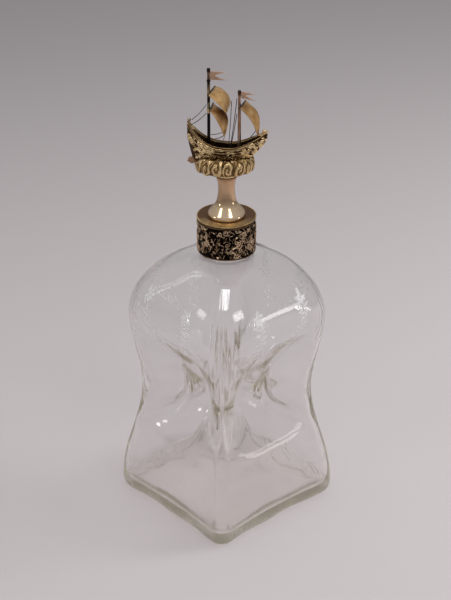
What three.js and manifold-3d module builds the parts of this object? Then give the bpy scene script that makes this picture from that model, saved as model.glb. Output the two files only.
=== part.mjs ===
// A pinched square glass decanter with a silver-gilt collar and a corked stopper topped by a sailing ship.
// Millimetres, +Z up. The origin is the middle of the base's underside, and the base's sides face X and Y.
import * as THREE from 'three';
import { mergeVertices } from 'three/addons/utils/BufferGeometryUtils.js';
import Module from 'manifold-3d';

const wasm = await Module();
wasm.setup();

// Gaps
const seatGap = 0.3;            // between pieces that touch

// Glass body: a square bubble with a round shoulder and a squeezed waist
const baseReach = 72.7;         // base corner, from the axis
const straightFoot = 10;        // height at which the corners start to draw in
const waistHeight = 86;
const waistReach = 57.5;
const shoulderHeight = 140;
const shoulderReach = 65.4;
const shoulderRise = 44.5;
const cornerRadius = 9;
const roundingBelow = 30;       // the corners open out to a circle from this far under the widest level
const roundingLength = 95;
const footRadius = 5;           // rounding under the walls
const lowerWall = 4.2;
const upperWall = 2.3;
const wallChangeBelow = 2;      // the wall thins from this far under the waist
const wallChangeLength = 22;
const floorThickness = 8;
const floorRadius = 9;
const puntRadius = 34;          // shallow hollow under the base
const puntHeight = 3;

// Waist: the corners squeezed into flat hollow fins round a narrow core
const coreRadius = 25.8;        // the round core that is left between the fins, at the waist
const coreCurveBelow = 21;      // how it rounds out into the lower chamber
const coreCurveAbove = 26;
const coreWallMost = 1.6;       // its wall is thicker where it flares, up to this many times
const waistSpan = 30;            // above and below the waist, where the squeezing shows
const finThickness = 14.5;      // the corners, squeezed flat beside the core
const finFillet = 3.5;
const pinchFillet = 8;

// Neck
const neckLength = 24.9;        // lip over the shoulder's top
const neckRadius = 16.5;
const neckFillet = 12;
const boreRadius = 11.6;        // at the lip
const boreTaper = 0.6;          // narrower by this at the neck's root
const lipRounding = 0.8;

// Collar
const collarHeight = 22.8;
const collarRadius = 19;
const collarSheet = 1;
const collarBead = 0.35;
const cementLength = 16;
const plateThickness = 1.1;
const plateOverhang = 0.3;
const plateRimWidth = 0.9;
const plateRimHeight = 0.25;

// Stopper
const corkLength = 21;
const corkChamfer = 0.8;
const rodRadius = 1.5;
const rodThroughNut = 0.9;
const washerRadius = 5;
const washerThickness = 0.8;
const nutRadius = 3.3;
const nutThickness = 2.2;
const domeRadius = 12.3;
const domeShell = 0.8;
const domeBulge = 4.2;          // height of the round part over the edge
const stemHeight = 27.3;        // whole height of dome and stem
const stemWaist = 5.4;
const stemTop = 6.4;
const stemWaistShare = 0.565;   // of the whole height, where the stem is narrowest
const domePlateThickness = 0.8;
const ringRadius = 7;
const ringHeight = 1.5;

// Wave platform
const waveRadius = 17.6;
const waveCount = 15;
const waveDepth = 1.5;
const waveFootRadius = 6.6;
const crestHeight = 14.5;
const crestDip = 1.8;           // how much lower the rim is between two waves
const seaHeight = 9.3;
const bedDepth = 1.7;           // how deep the hull lies in the sea
const rodDepth = 3.8;           // how far the rod's hole goes up into the platform
const waveLean = 0.35;          // share of one wave by which its crest leans over
const waveShift = -1.5;         // the platform sits a little towards the stern

// Ship: x runs from stern to bow, y to port, z from the underside of the hull
const shipHeading = 40;         // degrees, from +X
const sternFoot = -21.3;
const sternBelly = 3.6;
const sternSweep = 0.62;        // share of half a turn over which the stern swells
const bowFoot = 11;
const bowReach = 16.3;
const bowSweep = 0.5;
const hullHalfBeam = 6.3;
const sternHalfWidth = 1.1;     // at the post
const prowHalfWidth = 1.9;
const hullWall = 0.9;
const hullFloor = 2.2;
const sheerHeight = 9.7;
const sheerLowest = 3;          // x of the lowest point of the rail
const sternRise = 15.7;
const bowRise = 10.5;
const deckDrop = 3.2;
const deckSheer = 0.15;         // share of the rail's rise that the deck follows
const deckThickness = 0.9;
const railSize = 0.9;
const railOverhang = 0.15;
const finialRadius = 1.15;
const prowKnobRadius = 1.7;
const rudderLength = 2.6;
const rudderHeight = 6;
const rudderThickness = 0.9;
const rudderBelow = 2.8;        // how far it hangs under the hull

// Masts and yards
const mainMastX = -11.2;
const mainMastRadius = 0.95;
const mainMastTop = 60.6;
const foreMastX = 8.1;
const foreMastRadius = 1.0;
const foreMastTop = 47.2;
const truckRadius = 1.4;
const mastSwell = 1.15;         // a mast's foot against its middle
const mastRingHeight = 1.2;
const mastRingWidth = 0.7;
const yardRadius = 0.5;
const yardOverlap = 0.7;        // yard past the sail at each end
const topsailYardHeight = 46.1;
const courseYardHeight = 35.4;
const foreYardHeight = 38;

// Sails and pennants
const sailThickness = 0.45;
const topsailHalfSpan = 8;
const topsailFoot = { x: 1.2, z: 36.4, halfSpan: 9 };
const courseHalfSpan = 7;
const courseFoot = { x: -0.9, z: 17.4, halfSpan: 3.2 };
const foresailHalfSpan = 7;
const foresailFoot = { x: 20, z: 19.6, halfSpan: 2 };
const foreYardTurn = 13;        // degrees
const pennantThickness = 0.35;
const mainPennant = { length: 9.6, hoist: 5.2, drop: 2.7 };
const forePennant = { length: 7.6, hoist: 4.4, drop: 1.4 };

// Rigging: where each wire is made fast, heights on the masts and places along the hull
const wireRadius = 0.25;
const wireSag = 0.06;           // share of a wire's length by which it hangs
const upperBackstayHeight = 36.7;
const lowerBackstayHeight = 31.2;
const lowerBackstayX = -22.6;
const buntlineHeight = 17;
const courseSheetX = -8;
const courseTackX = -2.6;
const braceX = 0.8;
const braceY = 2.8;
const foreStayHeight = 41.7;
const foreStayX = 2;
const mainStayHeight = 31.6;
const mainStayX = 2.2;
const stayY = 1;
const foresailSheetX = 14.6;

const finishes = {
  glass: { color: 0xe4e6e0, roughness: 0.05, metalness: 0 },
  gilt: { color: 0xb08d52, roughness: 0.35, metalness: 1 },
  dark: { color: 0x4a3f33, roughness: 0.5, metalness: 1 },
  champagne: { color: 0xcdb995, roughness: 0.2, metalness: 1 },
  sail: { color: 0xb9985f, roughness: 0.4, metalness: 1 },
  cork: { color: 0xb58a5a, roughness: 0.9, metalness: 0 },
  plaster: { color: 0xd8d2c4, roughness: 0.9, metalness: 0 },
  brass: { color: 0xb59a5e, roughness: 0.4, metalness: 1 },
};

const lerp = THREE.MathUtils.lerp;
const smooth = THREE.MathUtils.smoothstep;
const halfPi = Math.PI / 2;

function smoothMin(a, b, k) {
  const share = THREE.MathUtils.clamp(0.5 + (0.5 * (b - a)) / k, 0, 1);
  return lerp(b, a, share) - k * share * (1 - share);
}

function smoothMax(a, b, k) {
  return -smoothMin(-a, -b, k);
}

function piece(name, geometry, finish, parent) {
  const mesh = new THREE.Mesh(geometry, new THREE.MeshStandardMaterial(finishes[finish]));
  mesh.name = name;
  parent.add(mesh);
  return mesh;
}

function closedGeometry(geometry) {
  geometry.deleteAttribute('normal');
  geometry.deleteAttribute('uv');
  return mergeVertices(geometry, 1e-4);
}

function toSolid(geometry) {
  const merged = closedGeometry(geometry.clone());
  return new wasm.Manifold(new wasm.Mesh({
    numProp: 3,
    vertProperties: new Float32Array(merged.attributes.position.array),
    triVerts: new Uint32Array(merged.index.array),
  }));
}

function fromSolid(solid) {
  const mesh = solid.getMesh();
  const geometry = new THREE.BufferGeometry();
  geometry.setAttribute('position', new THREE.BufferAttribute(mesh.vertProperties, 3));
  geometry.setIndex(new THREE.BufferAttribute(mesh.triVerts, 1));
  return geometry;
}

// A revolved piece about Z from [radius, height] points, in order with the outside to the right
function revolved(points, steps = 40) {
  const closed = points[0][0] < 1e-6 ? points : [...points, points[0]];
  const geometry = new THREE.LatheGeometry(closed.map(([r, z]) => new THREE.Vector2(r, z)), steps);
  geometry.rotateX(halfPi);
  return closedGeometry(geometry);
}

// A block whose grid points are carried to another place, each coordinate running from 0 to 1
function shapedBlock(steps, place) {
  const geometry = closedGeometry(new THREE.BoxGeometry(1, 1, 1, ...steps));
  const position = geometry.attributes.position;
  for (let i = 0; i < position.count; i += 1) {
    const at = place(position.getX(i) + 0.5, position.getY(i) + 0.5, position.getZ(i) + 0.5);
    position.setXYZ(i, ...at);
  }
  return geometry;
}

// Rings of equal count joined into one closed skin, each end closed by a point
function ringSkin(rings, firstPoint, lastPoint) {
  const count = rings[0].length;
  const vertices = [firstPoint, ...rings.flat(), lastPoint];
  const last = vertices.length - 1;
  const at = (ring, i) => 1 + ring * count + (i % count);
  const length = (a, b) => Math.hypot(...vertices[a].map((value, axis) => value - vertices[b][axis]));
  const faces = [];
  for (let i = 0; i < count; i += 1) {
    faces.push(0, at(0, i + 1), at(0, i));
    faces.push(last, at(rings.length - 1, i), at(rings.length - 1, i + 1));
    for (let ring = 0; ring < rings.length - 1; ring += 1) {
      const [a, b, c, d] = [at(ring, i), at(ring, i + 1), at(ring + 1, i + 1), at(ring + 1, i)];
      const split = length(a, c) <= length(b, d) + 1e-6 ? [a, b, c, a, c, d] : [a, b, d, b, c, d];
      faces.push(...split);
    }
  }
  const geometry = new THREE.BufferGeometry();
  geometry.setAttribute('position', new THREE.Float32BufferAttribute(vertices.flat(), 3));
  geometry.setIndex(faces);
  return geometry;
}

// Glass bottle

const domeTop = shoulderHeight + shoulderRise;
const neckHeight = domeTop + neckLength;
const thinningFrom = waistHeight - wallChangeBelow;
const roundingFrom = shoulderHeight - roundingBelow;

function wallAt(z) {
  return lerp(lowerWall, upperWall, smooth(z, thinningFrom, thinningFrom + wallChangeLength));
}

function boreAt(z) {
  return boreRadius - boreTaper * smooth(neckHeight - z, 0, neckLength);
}

// How far the corner stands from the axis, outside the wall or inside it
function cornerReach(z, wall) {
  const swell = (t) => 0.5 - 0.5 * Math.cos(Math.PI * THREE.MathUtils.clamp(t, 0, 1));
  if (z < waistHeight) {
    const t = (z - straightFoot) / (waistHeight - straightFoot);
    return lerp(baseReach, waistReach, swell(t)) - wall;
  }
  if (z < shoulderHeight) {
    const t = (z - waistHeight) / (shoulderHeight - waistHeight);
    return lerp(waistReach, shoulderReach, swell(t)) - wall;
  }
  const t = (z - shoulderHeight) / (shoulderRise - wall);
  const dome = (shoulderReach - wall) * Math.sqrt(Math.max(0, 1 - t * t));
  return smoothMax(dome, wall > 0 ? boreAt(z) : neckRadius, neckFillet);
}

// The level section at height z: how far the wall stands from the axis at a distance u along the side
function sideShape(z, wall, inset) {
  const reach = cornerReach(z, wall);
  const opened = smooth(z, roundingFrom, roundingFrom + roundingLength);
  const rounding = lerp(cornerRadius, cornerReach(z, 0), opened);
  const radius = Math.min(reach, Math.max(2.5, rounding - wall));
  const half = (reach - radius) / Math.SQRT2 + radius - inset;
  const lift = z - waistHeight;
  const curve = z > waistHeight ? coreCurveAbove : coreCurveBelow;
  const core = coreRadius + lift ** 2 / (2 * curve) - wall * Math.min(coreWallMost, Math.hypot(1, lift / curve));
  const flank = (finThickness - 2 * wall) / Math.SQRT2;
  const wallAway = (u) => {
    const past = Math.max(0, u - (half - radius));
    const body = half - radius + Math.sqrt(Math.max(0, radius * radius - past * past));
    const neck = Math.sqrt(Math.max(0, core * core - u * u));
    return smoothMin(body, smoothMax(u + flank, neck, finFillet), pinchFillet);
  };
  let [inside, outside] = [0, half];
  for (let i = 0; i < 24; i += 1) {
    const middle = (inside + outside) / 2;
    if (wallAway(middle) > middle) inside = middle;
    else outside = middle;
  }
  return { wallAway, edge: inside };
}

const sideSteps = 6;            // from the middle of a side to its corner

// How far a level section draws in at a rise above the start of a rounded edge
function insetAt(rise, radius) {
  return radius - Math.sqrt(radius ** 2 - Math.max(0, radius - rise) ** 2);
}

function glassRing(z, wall, inset = 0) {
  const { wallAway, edge } = sideShape(z, wall, inset);
  const half = [];
  for (let i = 0; i <= sideSteps; i += 1) {
    const u = edge * (1 - (1 - i / sideSteps) ** 1.35);
    half.push([u, wallAway(u)]);
  }
  const quarter = [...half, ...half.slice(1, -1).reverse().map(([u, w]) => [w, u])];
  const ring = [];
  for (let side = 0; side < 4; side += 1) {
    for (const [a, b] of quarter) {
      const turn = new THREE.Vector2(b, a).rotateAround(new THREE.Vector2(), side * halfPi);
      ring.push([turn.x, turn.y, z]);
    }
  }
  return ring;
}

// The same directions as a glass ring, at one distance from the axis
function roundRing(like, radius, z) {
  return like.map(([x, y]) => [(x / Math.hypot(x, y)) * radius, (y / Math.hypot(x, y)) * radius, z]);
}

function heights(from, to, step) {
  const count = Math.max(1, Math.round((to - from) / step));
  return Array.from({ length: count }, (_, i) => lerp(from, to, i / count));
}

// Levels from the foot to the neck, closer together round the waist
function bodyLevels(from, to) {
  const [low, high] = [waistHeight - waistSpan, waistHeight + waistSpan];
  return [...heights(from, low, 12), ...heights(low, high, 7.5), ...heights(high, to, 10.5)];
}

function glassBottle() {
  const foot = glassRing(0, 0, insetAt(0, footRadius));
  const rings = [];
  for (const share of [0.35, 0.7, 1]) {
    rings.push(roundRing(foot, puntRadius * share, puntHeight * (1 - share ** 2)));
  }
  rings.push(foot);
  for (const share of [0.1, 0.35, 0.7]) {
    rings.push(glassRing(footRadius * share, 0, insetAt(footRadius * share, footRadius)));
  }
  const neckRoot = domeTop - 8;
  for (const z of [...bodyLevels(footRadius, neckRoot), ...heights(neckRoot, domeTop + 1, 2.3)]) {
    rings.push(glassRing(z, 0));
  }
  const lip = rings.at(-1);
  rings.push(roundRing(lip, neckRadius, domeTop + 1));
  rings.push(roundRing(lip, neckRadius, neckHeight - lipRounding));
  rings.push(roundRing(lip, neckRadius - lipRounding, neckHeight));
  rings.push(roundRing(lip, boreRadius + lipRounding / 2, neckHeight));
  rings.push(roundRing(lip, boreRadius, neckHeight - lipRounding));
  const inside = [];
  for (const share of [0, 0.12, 0.4, 0.75]) {
    const z = floorThickness + floorRadius * share;
    inside.push(glassRing(z, wallAt(z), insetAt(floorRadius * share, floorRadius)));
  }
  const floorEnd = floorThickness + floorRadius;
  const boreRoot = neckRoot - upperWall;
  for (const z of [...bodyLevels(floorEnd, boreRoot), ...heights(boreRoot, boreRoot + 12, 2.4)]) {
    inside.push(glassRing(z, wallAt(z)));
  }
  const floorRing = roundRing(inside[0], puntRadius * 0.6, floorThickness + puntHeight * 0.3);
  const skin = [...rings, ...inside.reverse(), floorRing];
  return ringSkin(skin, [0, 0, puntHeight], [0, 0, floorThickness + puntHeight * 0.5]);
}

// Collar

const bandTop = neckHeight - seatGap;
const collarFoot = bandTop - collarHeight;
const plateTop = neckHeight + seatGap + plateThickness;
const plateHole = boreRadius + seatGap;

function collarBand() {
  const inner = collarRadius - collarSheet;
  const bulge = collarRadius + collarBead;
  return revolved([
    [inner, collarFoot], [collarRadius, collarFoot], [bulge, collarFoot + collarBead],
    [bulge, collarFoot + 3 * collarBead], [collarRadius, collarFoot + 4 * collarBead],
    [collarRadius, bandTop - 4 * collarBead], [bulge, bandTop - 3 * collarBead],
    [bulge, bandTop - collarBead], [collarRadius, bandTop], [inner, bandTop],
  ]);
}

function collarTopPlate() {
  const foot = neckHeight + seatGap;
  const edge = collarRadius + plateOverhang;
  const face = plateTop - plateRimHeight;
  return revolved([
    [plateHole, foot], [edge - 0.3, foot], [edge, foot + 0.3], [edge, plateTop - 0.3], [edge - 0.3, plateTop],
    [edge - plateRimWidth, plateTop], [edge - plateRimWidth - 0.2, face], [plateHole, face],
  ]);
}

function collarCement() {
  const outer = collarRadius - collarSheet - seatGap;
  const inner = neckRadius + seatGap;
  const top = neckHeight - lipRounding;
  return revolved([[inner, top - cementLength], [outer, top - cementLength], [outer, top], [inner, top]], 32);
}

// Stopper

const domeFoot = plateTop - plateRimHeight + seatGap;
const corkTop = domeFoot;
const corkFoot = corkTop - corkLength;
const stemEnd = domeFoot + stemHeight;
const rodHole = rodRadius + seatGap;
const nutTop = corkFoot - 2 * seatGap - washerThickness;
const platformFoot = stemEnd + ringHeight + 2 * seatGap;
const rodTop = platformFoot + rodDepth;

function stopperCork() {
  const footEdge = corkFoot + corkChamfer;
  const footRadiusOfCork = boreAt(footEdge) - seatGap;
  const topRadius = boreAt(neckHeight) - seatGap;
  return revolved([
    [rodHole, corkFoot], [footRadiusOfCork - corkChamfer, corkFoot], [footRadiusOfCork, footEdge],
    [topRadius, corkTop - corkChamfer], [topRadius - corkChamfer, corkTop], [rodHole, corkTop],
  ], 32);
}

function corkRod() {
  const foot = nutTop - nutThickness - rodThroughNut;
  return revolved([[0, foot], [rodRadius, foot], [rodRadius, rodTop - seatGap], [0, rodTop - seatGap]], 16);
}

function corkWasher() {
  const top = corkFoot - seatGap;
  const foot = top - washerThickness;
  return revolved([[rodHole, foot], [washerRadius, foot], [washerRadius, top], [rodHole, top]], 24);
}

function corkNut() {
  const blank = new THREE.CylinderGeometry(nutRadius, nutRadius, nutThickness, 6);
  blank.rotateX(halfPi);
  const hole = new THREE.CylinderGeometry(rodHole, rodHole, nutThickness * 2, 16);
  hole.rotateX(halfPi);
  const geometry = fromSolid(toSolid(blank).subtract(toSolid(hole)));
  geometry.translate(0, 0, nutTop - nutThickness / 2);
  return geometry;
}

// Dome and stem: an egg-shaped foot drawn up into a trumpet stem
function domeProfile(shell) {
  const crown = stemWaist + 2.2;
  const waistAt = domeFoot + stemHeight * stemWaistShare;
  const points = [];
  for (let i = 0; i <= 4; i += 1) {
    const angle = (i / 4) * THREE.MathUtils.degToRad(72);
    const radius = crown + (domeRadius - crown) * Math.cos(angle) - shell;
    points.push([radius, domeFoot + domeBulge * Math.sin(angle) + 0.6]);
  }
  const [start, shoulder] = points.at(-1);
  for (let i = 1; i <= 5; i += 1) {
    const t = i / 5;
    points.push([lerp(start, stemWaist - shell, 1 - (1 - t) ** 2.4), lerp(shoulder, waistAt, t)]);
  }
  for (let i = 1; i <= 2; i += 1) {
    const t = i / 2;
    points.push([lerp(stemWaist, stemTop, t * t) - shell, lerp(waistAt, stemEnd, t)]);
  }
  return points;
}

function stopperDome() {
  const outside = domeProfile(0);
  const inside = domeProfile(domeShell).reverse();
  const edge = [[domeRadius - domeShell, domeFoot], [domeRadius - 0.15, domeFoot]];
  return revolved([...edge, ...outside, ...inside], 26);
}

function domePlate() {
  const radius = domeRadius - domeShell - 2 * seatGap;
  const foot = domeFoot + seatGap;
  const top = foot + domePlateThickness;
  return revolved([[rodHole, foot], [radius, foot], [radius, top], [rodHole, top]], 32);
}

function stemRing() {
  const foot = stemEnd + seatGap;
  const rounding = ringHeight / 2;
  const points = [[rodHole, foot]];
  for (let i = 0; i <= 4; i += 1) {
    const angle = lerp(-halfPi, halfPi, i / 4);
    points.push([ringRadius - rounding * (1 - Math.cos(angle)), foot + rounding * (1 + Math.sin(angle))]);
  }
  points.push([rodHole, foot + ringHeight]);
  return revolved(points, 28);
}

// Wave platform: a dish whose rim breaks into leaning waves, with the hull's bed in its flat sea
function wavePlatform() {
  const profile = [[rodHole, 0], [waveFootRadius, 0]];
  for (const [share, height] of [
    [0.68, 2.1], [0.85, 3.9], [0.965, 5.9], [1, 8.6], [0.97, 11.8], [0.87, crestHeight],
    [0.77, 12.6], [0.68, seaHeight],
  ]) {
    profile.push([waveRadius * share, height]);
  }
  const body = revolved([[0, rodDepth], [rodHole, rodDepth], ...profile, [0, seaHeight]], waveCount * 4);
  const position = body.attributes.position;
  for (let i = 0; i < position.count; i += 1) {
    const [x, y, z] = [position.getX(i), position.getY(i), position.getZ(i)];
    const radius = Math.hypot(x, y);
    const depth = waveDepth * smooth(radius, waveRadius * 0.6, waveRadius * 0.9);
    const phase = Math.atan2(y, x) * waveCount + 2 * Math.PI * waveLean * (z / crestHeight);
    const crest = Math.abs(Math.cos(phase / 2));
    const swell = radius > 1 ? (radius + depth * (crest * 2 - 1)) / radius : 1;
    const shift = waveShift * smooth(radius, waveFootRadius, waveRadius * 0.6);
    const dip = crestDip * (1 - crest) * smooth(z, seaHeight, crestHeight);
    position.setXYZ(i, x * swell + shift, y * swell, platformFoot + z - dip);
  }
  const bedFloor = platformFoot + seaHeight - bedDepth;
  const bed = hullBlock(seatGap);
  bed.rotateZ(THREE.MathUtils.degToRad(shipHeading));
  bed.translate(0, 0, bedFloor + seatGap);
  return { geometry: fromSolid(toSolid(body).subtract(toSolid(bed))), bedFloor };
}

// Ship

const platform = wavePlatform();
const ship = new THREE.Group();
ship.position.set(0, 0, platform.bedFloor + seatGap);
ship.rotation.z = THREE.MathUtils.degToRad(shipHeading);

function sternX(h) {
  return sternFoot - sternBelly * Math.sin(sternSweep * Math.PI * h);
}

function bowX(h) {
  return bowFoot + bowReach * Math.sin(bowSweep * Math.PI * h);
}

function sheerAt(x) {
  if (x < sheerLowest) {
    return sheerHeight + sternRise * ((sheerLowest - x) / (sheerLowest - sternX(1))) ** 3;
  }
  return sheerHeight + bowRise * ((x - sheerLowest) / (bowX(1) - sheerLowest)) ** 1.5;
}

// A point of the hull: s from stern to bow, h from keel to rail, both 0 to 1
function hullLine(s, h) {
  const x = lerp(sternX(h), bowX(h), s);
  const plan = (1 - Math.abs(2 * s - 1) ** 2.5) ** 0.85;
  const section = 0.3 + 0.7 * Math.sin(halfPi * Math.min(1, h) ** 0.6);
  const endHalf = lerp(sternHalfWidth, prowHalfWidth, s) * lerp(0.6, 1, Math.min(1, h));
  const halfBeam = endHalf + (hullHalfBeam - endHalf) * plan * section;
  return { x, halfBeam, top: sheerAt(lerp(sternX(1), bowX(1), s)) };
}

// The hull as a full block, larger all round by a margin
function hullBlock(margin) {
  return shapedBlock([18, 1, 6], (s, side, h) => {
    const { x, halfBeam, top } = hullLine(s, h);
    return [x + (2 * s - 1) * margin, (2 * side - 1) * (halfBeam + margin), h * top - margin];
  });
}

function hullShell() {
  const hollow = shapedBlock([14, 1, 4], (s, side, h) => {
    const { x, halfBeam, top } = hullLine(lerp(0.07, 0.9, s), lerp(hullFloor / sheerHeight, 1, h));
    const z = lerp(hullFloor, top + (h === 1 ? 1 : 0), h);
    return [x, (2 * side - 1) * Math.max(0.25, halfBeam - hullWall), z];
  });
  return fromSolid(toSolid(hullBlock(0)).subtract(toSolid(hollow)));
}

function deckTopAt(x) {
  return sheerHeight - deckDrop + deckSheer * (sheerAt(x) - sheerHeight);
}

function hullDeck() {
  return shapedBlock([12, 1, 1], (s, side, h) => {
    const along = lerp(0.16, 0.83, s);
    const railX = hullLine(along, 1).x;
    const underside = deckTopAt(railX) - deckThickness;
    const { x, halfBeam } = hullLine(along, underside / sheerAt(railX));
    return [x, (2 * side - 1) * (halfBeam - hullWall - seatGap), underside + deckThickness * h];
  });
}

function rail(side) {
  return shapedBlock([18, 1, 1], (s, across, h) => {
    const { x, halfBeam, top } = hullLine(lerp(0.06, 0.93, s), 1);
    const inward = side > 0 ? across - 1 : across;
    return [x, side * (halfBeam + railOverhang) + railSize * inward, top + seatGap + railSize * h];
  });
}

function rudder() {
  const sternTop = sheerAt(sternX(1));
  return shapedBlock([2, 1, 5], (a, side, h) => {
    const z = rudderHeight * h - rudderBelow;
    const edge = sternX(Math.max(0, z) / sternTop) - seatGap;
    const width = rudderLength * lerp(1, 0.45, h);
    return [edge - width * (1 - a), (side - 0.5) * rudderThickness * lerp(0.5, 1, a), z];
  });
}

function mast(x, radius, top) {
  const foot = deckTopAt(x) + 0.5;
  const neck = radius * 0.4;
  const knob = [];
  for (let i = 1; i <= 5; i += 1) {
    const angle = lerp(-halfPi, halfPi, i / 5);
    knob.push([i === 5 ? 0 : neck + (truckRadius - neck) * Math.cos(angle), top - 1 + Math.sin(angle)]);
  }
  const pole = [[0, foot], [radius * mastSwell, foot], [radius, top * 0.55], [radius * 0.8, top - 2.2]];
  const geometry = revolved([...pole, ...knob], 12);
  geometry.translate(x, 0, 0);
  return geometry;
}

function mastRing(x, radius) {
  const foot = deckTopAt(x) + 0.55;
  const top = foot + mastRingHeight;
  const inner = radius * mastSwell + seatGap;
  const outer = inner + mastRingWidth;
  const geometry = revolved([[inner, foot], [outer, foot], [outer, top], [inner, top]], 16);
  geometry.translate(x, 0, 0);
  return geometry;
}

// A sail: a from starboard to port, c from head to foot, both 0 to 1
function sailPoint(sail, a, c, lift = 0) {
  const { head, foot, roundness, belly, turn } = sail;
  const along = lerp(c, Math.sin(halfPi * c), roundness);
  const down = lerp(c, 1 - Math.cos(halfPi * c), roundness);
  const span = lerp(head.halfSpan, foot.halfSpan, c ** 1.2) * (2 * a - 1);
  const swing = THREE.MathUtils.degToRad(turn) * (1 - c);
  const push = belly * Math.sin(Math.PI * a) * Math.sin(Math.PI * c ** 0.8) + lift;
  const rise = 0.35 * belly * Math.sin(Math.PI * a) * Math.sin(Math.PI * c ** 0.8);
  return [
    lerp(head.x, foot.x, along) + push + span * Math.sin(swing),
    span * Math.cos(swing),
    lerp(head.z, foot.z, down) + rise,
  ];
}

function sailGeometry(sail) {
  return shapedBlock([1, 6, 8], (through, a, c) => sailPoint(sail, a, 1 - c, sailThickness * through));
}

function yardAhead(mastX, mastRadius) {
  return mastX + mastRadius + seatGap + yardRadius;
}

function sailOn(mastX, mastRadius, height, halfSpan, foot, form) {
  const yardX = yardAhead(mastX, mastRadius);
  const head = { x: yardX + yardRadius + seatGap, z: height - 0.2, halfSpan };
  return { head, foot, yardX, yardZ: height, ...form };
}

function yard(sail) {
  const half = sail.head.halfSpan + yardOverlap;
  const geometry = revolved([
    [0, -half], [yardRadius * 0.7, -half], [yardRadius * 0.7, -half * 0.8], [yardRadius, 0],
    [yardRadius * 0.7, half * 0.8], [yardRadius * 0.7, half], [0, half],
  ], 8);
  geometry.rotateX(halfPi);
  geometry.rotateZ(-THREE.MathUtils.degToRad(sail.turn));
  geometry.translate(sail.yardX, 0, sail.yardZ);
  return geometry;
}

function pennant(mastX, mastRadius, top, { length, hoist, drop }) {
  const shape = new THREE.Shape();
  shape.moveTo(0, 0);
  shape.quadraticCurveTo(length * 0.5, 0, length, hoist * 0.08);
  shape.quadraticCurveTo(length * 0.5, hoist * 0.2, length * 0.25, hoist * 0.5);
  shape.quadraticCurveTo(length * 0.5, hoist * 0.8, length, hoist * 0.95);
  shape.quadraticCurveTo(length * 0.5, hoist * 1.05, 0, hoist);
  const form = { depth: pennantThickness, bevelEnabled: false, curveSegments: 5 };
  const geometry = new THREE.ExtrudeGeometry(shape, form);
  geometry.rotateX(halfPi);
  geometry.translate(mastX + mastRadius + seatGap, pennantThickness / 2, top - drop - hoist);
  return closedGeometry(geometry);
}

function wire(points, steps) {
  const path = new THREE.CatmullRomCurve3(points.map((p) => new THREE.Vector3(...p)));
  const section = new THREE.Shape();
  for (let i = 0; i < 5; i += 1) {
    const angle = (i / 5) * 2 * Math.PI;
    const at = [wireRadius * Math.cos(angle), wireRadius * Math.sin(angle)];
    if (i === 0) section.moveTo(...at);
    else section.lineTo(...at);
  }
  const form = { steps, extrudePath: path, bevelEnabled: false };
  return closedGeometry(new THREE.ExtrudeGeometry(section, form));
}

function onRail(x, side) {
  const s = (x - sternX(1)) / (bowX(1) - sternX(1));
  const { halfBeam, top } = hullLine(s, 1);
  return [x, side * (halfBeam - railSize / 2), top + 2 * seatGap + railSize + wireRadius];
}

function onDeck(x, y) {
  return [x, y, deckTopAt(x) + seatGap + wireRadius];
}

const topsail = sailOn(mainMastX, mainMastRadius, topsailYardHeight, topsailHalfSpan, topsailFoot,
  { roundness: 0.4, belly: 1.8, turn: 0 });
const course = sailOn(mainMastX, mainMastRadius, courseYardHeight, courseHalfSpan, courseFoot,
  { roundness: 0.1, belly: 4.6, turn: 0 });
const foresail = sailOn(foreMastX, foreMastRadius, foreYardHeight, foresailHalfSpan, foresailFoot,
  { roundness: 0.8, belly: 1, turn: foreYardTurn });

// A wire between two points that hangs a little
function hung(from, to) {
  const length = Math.hypot(...from.map((v, i) => v - to[i]));
  const middle = from.map((v, i) => (v + to[i]) / 2);
  return [from, [middle[0], middle[1], middle[2] - wireSag * length], to];
}

function rigging() {
  const behind = -seatGap - wireRadius;
  const ahead = sailThickness + seatGap + wireRadius;
  const mainBack = mainMastX - mainMastRadius + behind;
  const mainFront = mainMastX + mainMastRadius - behind;
  const foreBack = foreMastX - foreMastRadius + behind;
  const finialFront = finialX + finialRadius - behind;
  const braceStart = sailPoint(topsail, 0.97, 0.97, ahead);
  const braceEnd = onDeck(braceX, braceY);
  const braceBend = [0.2, 0.6, 0.45].map((share, i) => lerp(braceStart[i], braceEnd[i], share));
  return {
    upper_backstay: hung([mainBack, 0, upperBackstayHeight],
      [finialFront, 0, knobHeight(finialX, finialRadius)]),
    lower_backstay: hung([mainBack, 0, lowerBackstayHeight],
      [lowerBackstayX, 0, sheerAt(lowerBackstayX) + seatGap + wireRadius]),
    course_buntline: hung([mainFront, 0, buntlineHeight], sailPoint(course, 0.5, 0.9, behind - 0.2)),
    course_sheet: hung(sailPoint(course, 0.03, 0.97, behind), onRail(courseSheetX, 1)),
    course_tack: hung(sailPoint(course, 0.97, 0.97, behind), onRail(courseTackX, 1)),
    topsail_brace: [braceStart, braceBend, braceEnd],
    fore_stay: hung([foreBack, 0, foreStayHeight], onDeck(foreStayX, stayY)),
    main_stay: hung([foreBack, 0, mainStayHeight], onDeck(mainStayX, -stayY)),
    foresail_sheet: hung(sailPoint(foresail, 0.5, 0.88, behind - 0.2), onRail(foresailSheetX, 1)),
  };
}

const finialX = sternX(1) + sternHalfWidth;

// How high the middle of a knob sits so that it just clears the hull's sloping top edge
function knobHeight(x, radius) {
  const reach = radius + seatGap;
  const clear = [-1, -0.8, -0.6, -0.4, -0.2, 0, 0.2, 0.4, 0.6, 0.8, 1].map((share) => {
    const along = THREE.MathUtils.clamp(x + share * reach, sternX(1), bowX(1));
    return sheerAt(along) + Math.sqrt(reach ** 2 - (along - x) ** 2);
  });
  return Math.max(...clear);
}

function knob(x, radius) {
  const geometry = closedGeometry(new THREE.SphereGeometry(radius, 12, 8));
  geometry.translate(x, 0, knobHeight(x, radius));
  return geometry;
}

// Assembly

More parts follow.
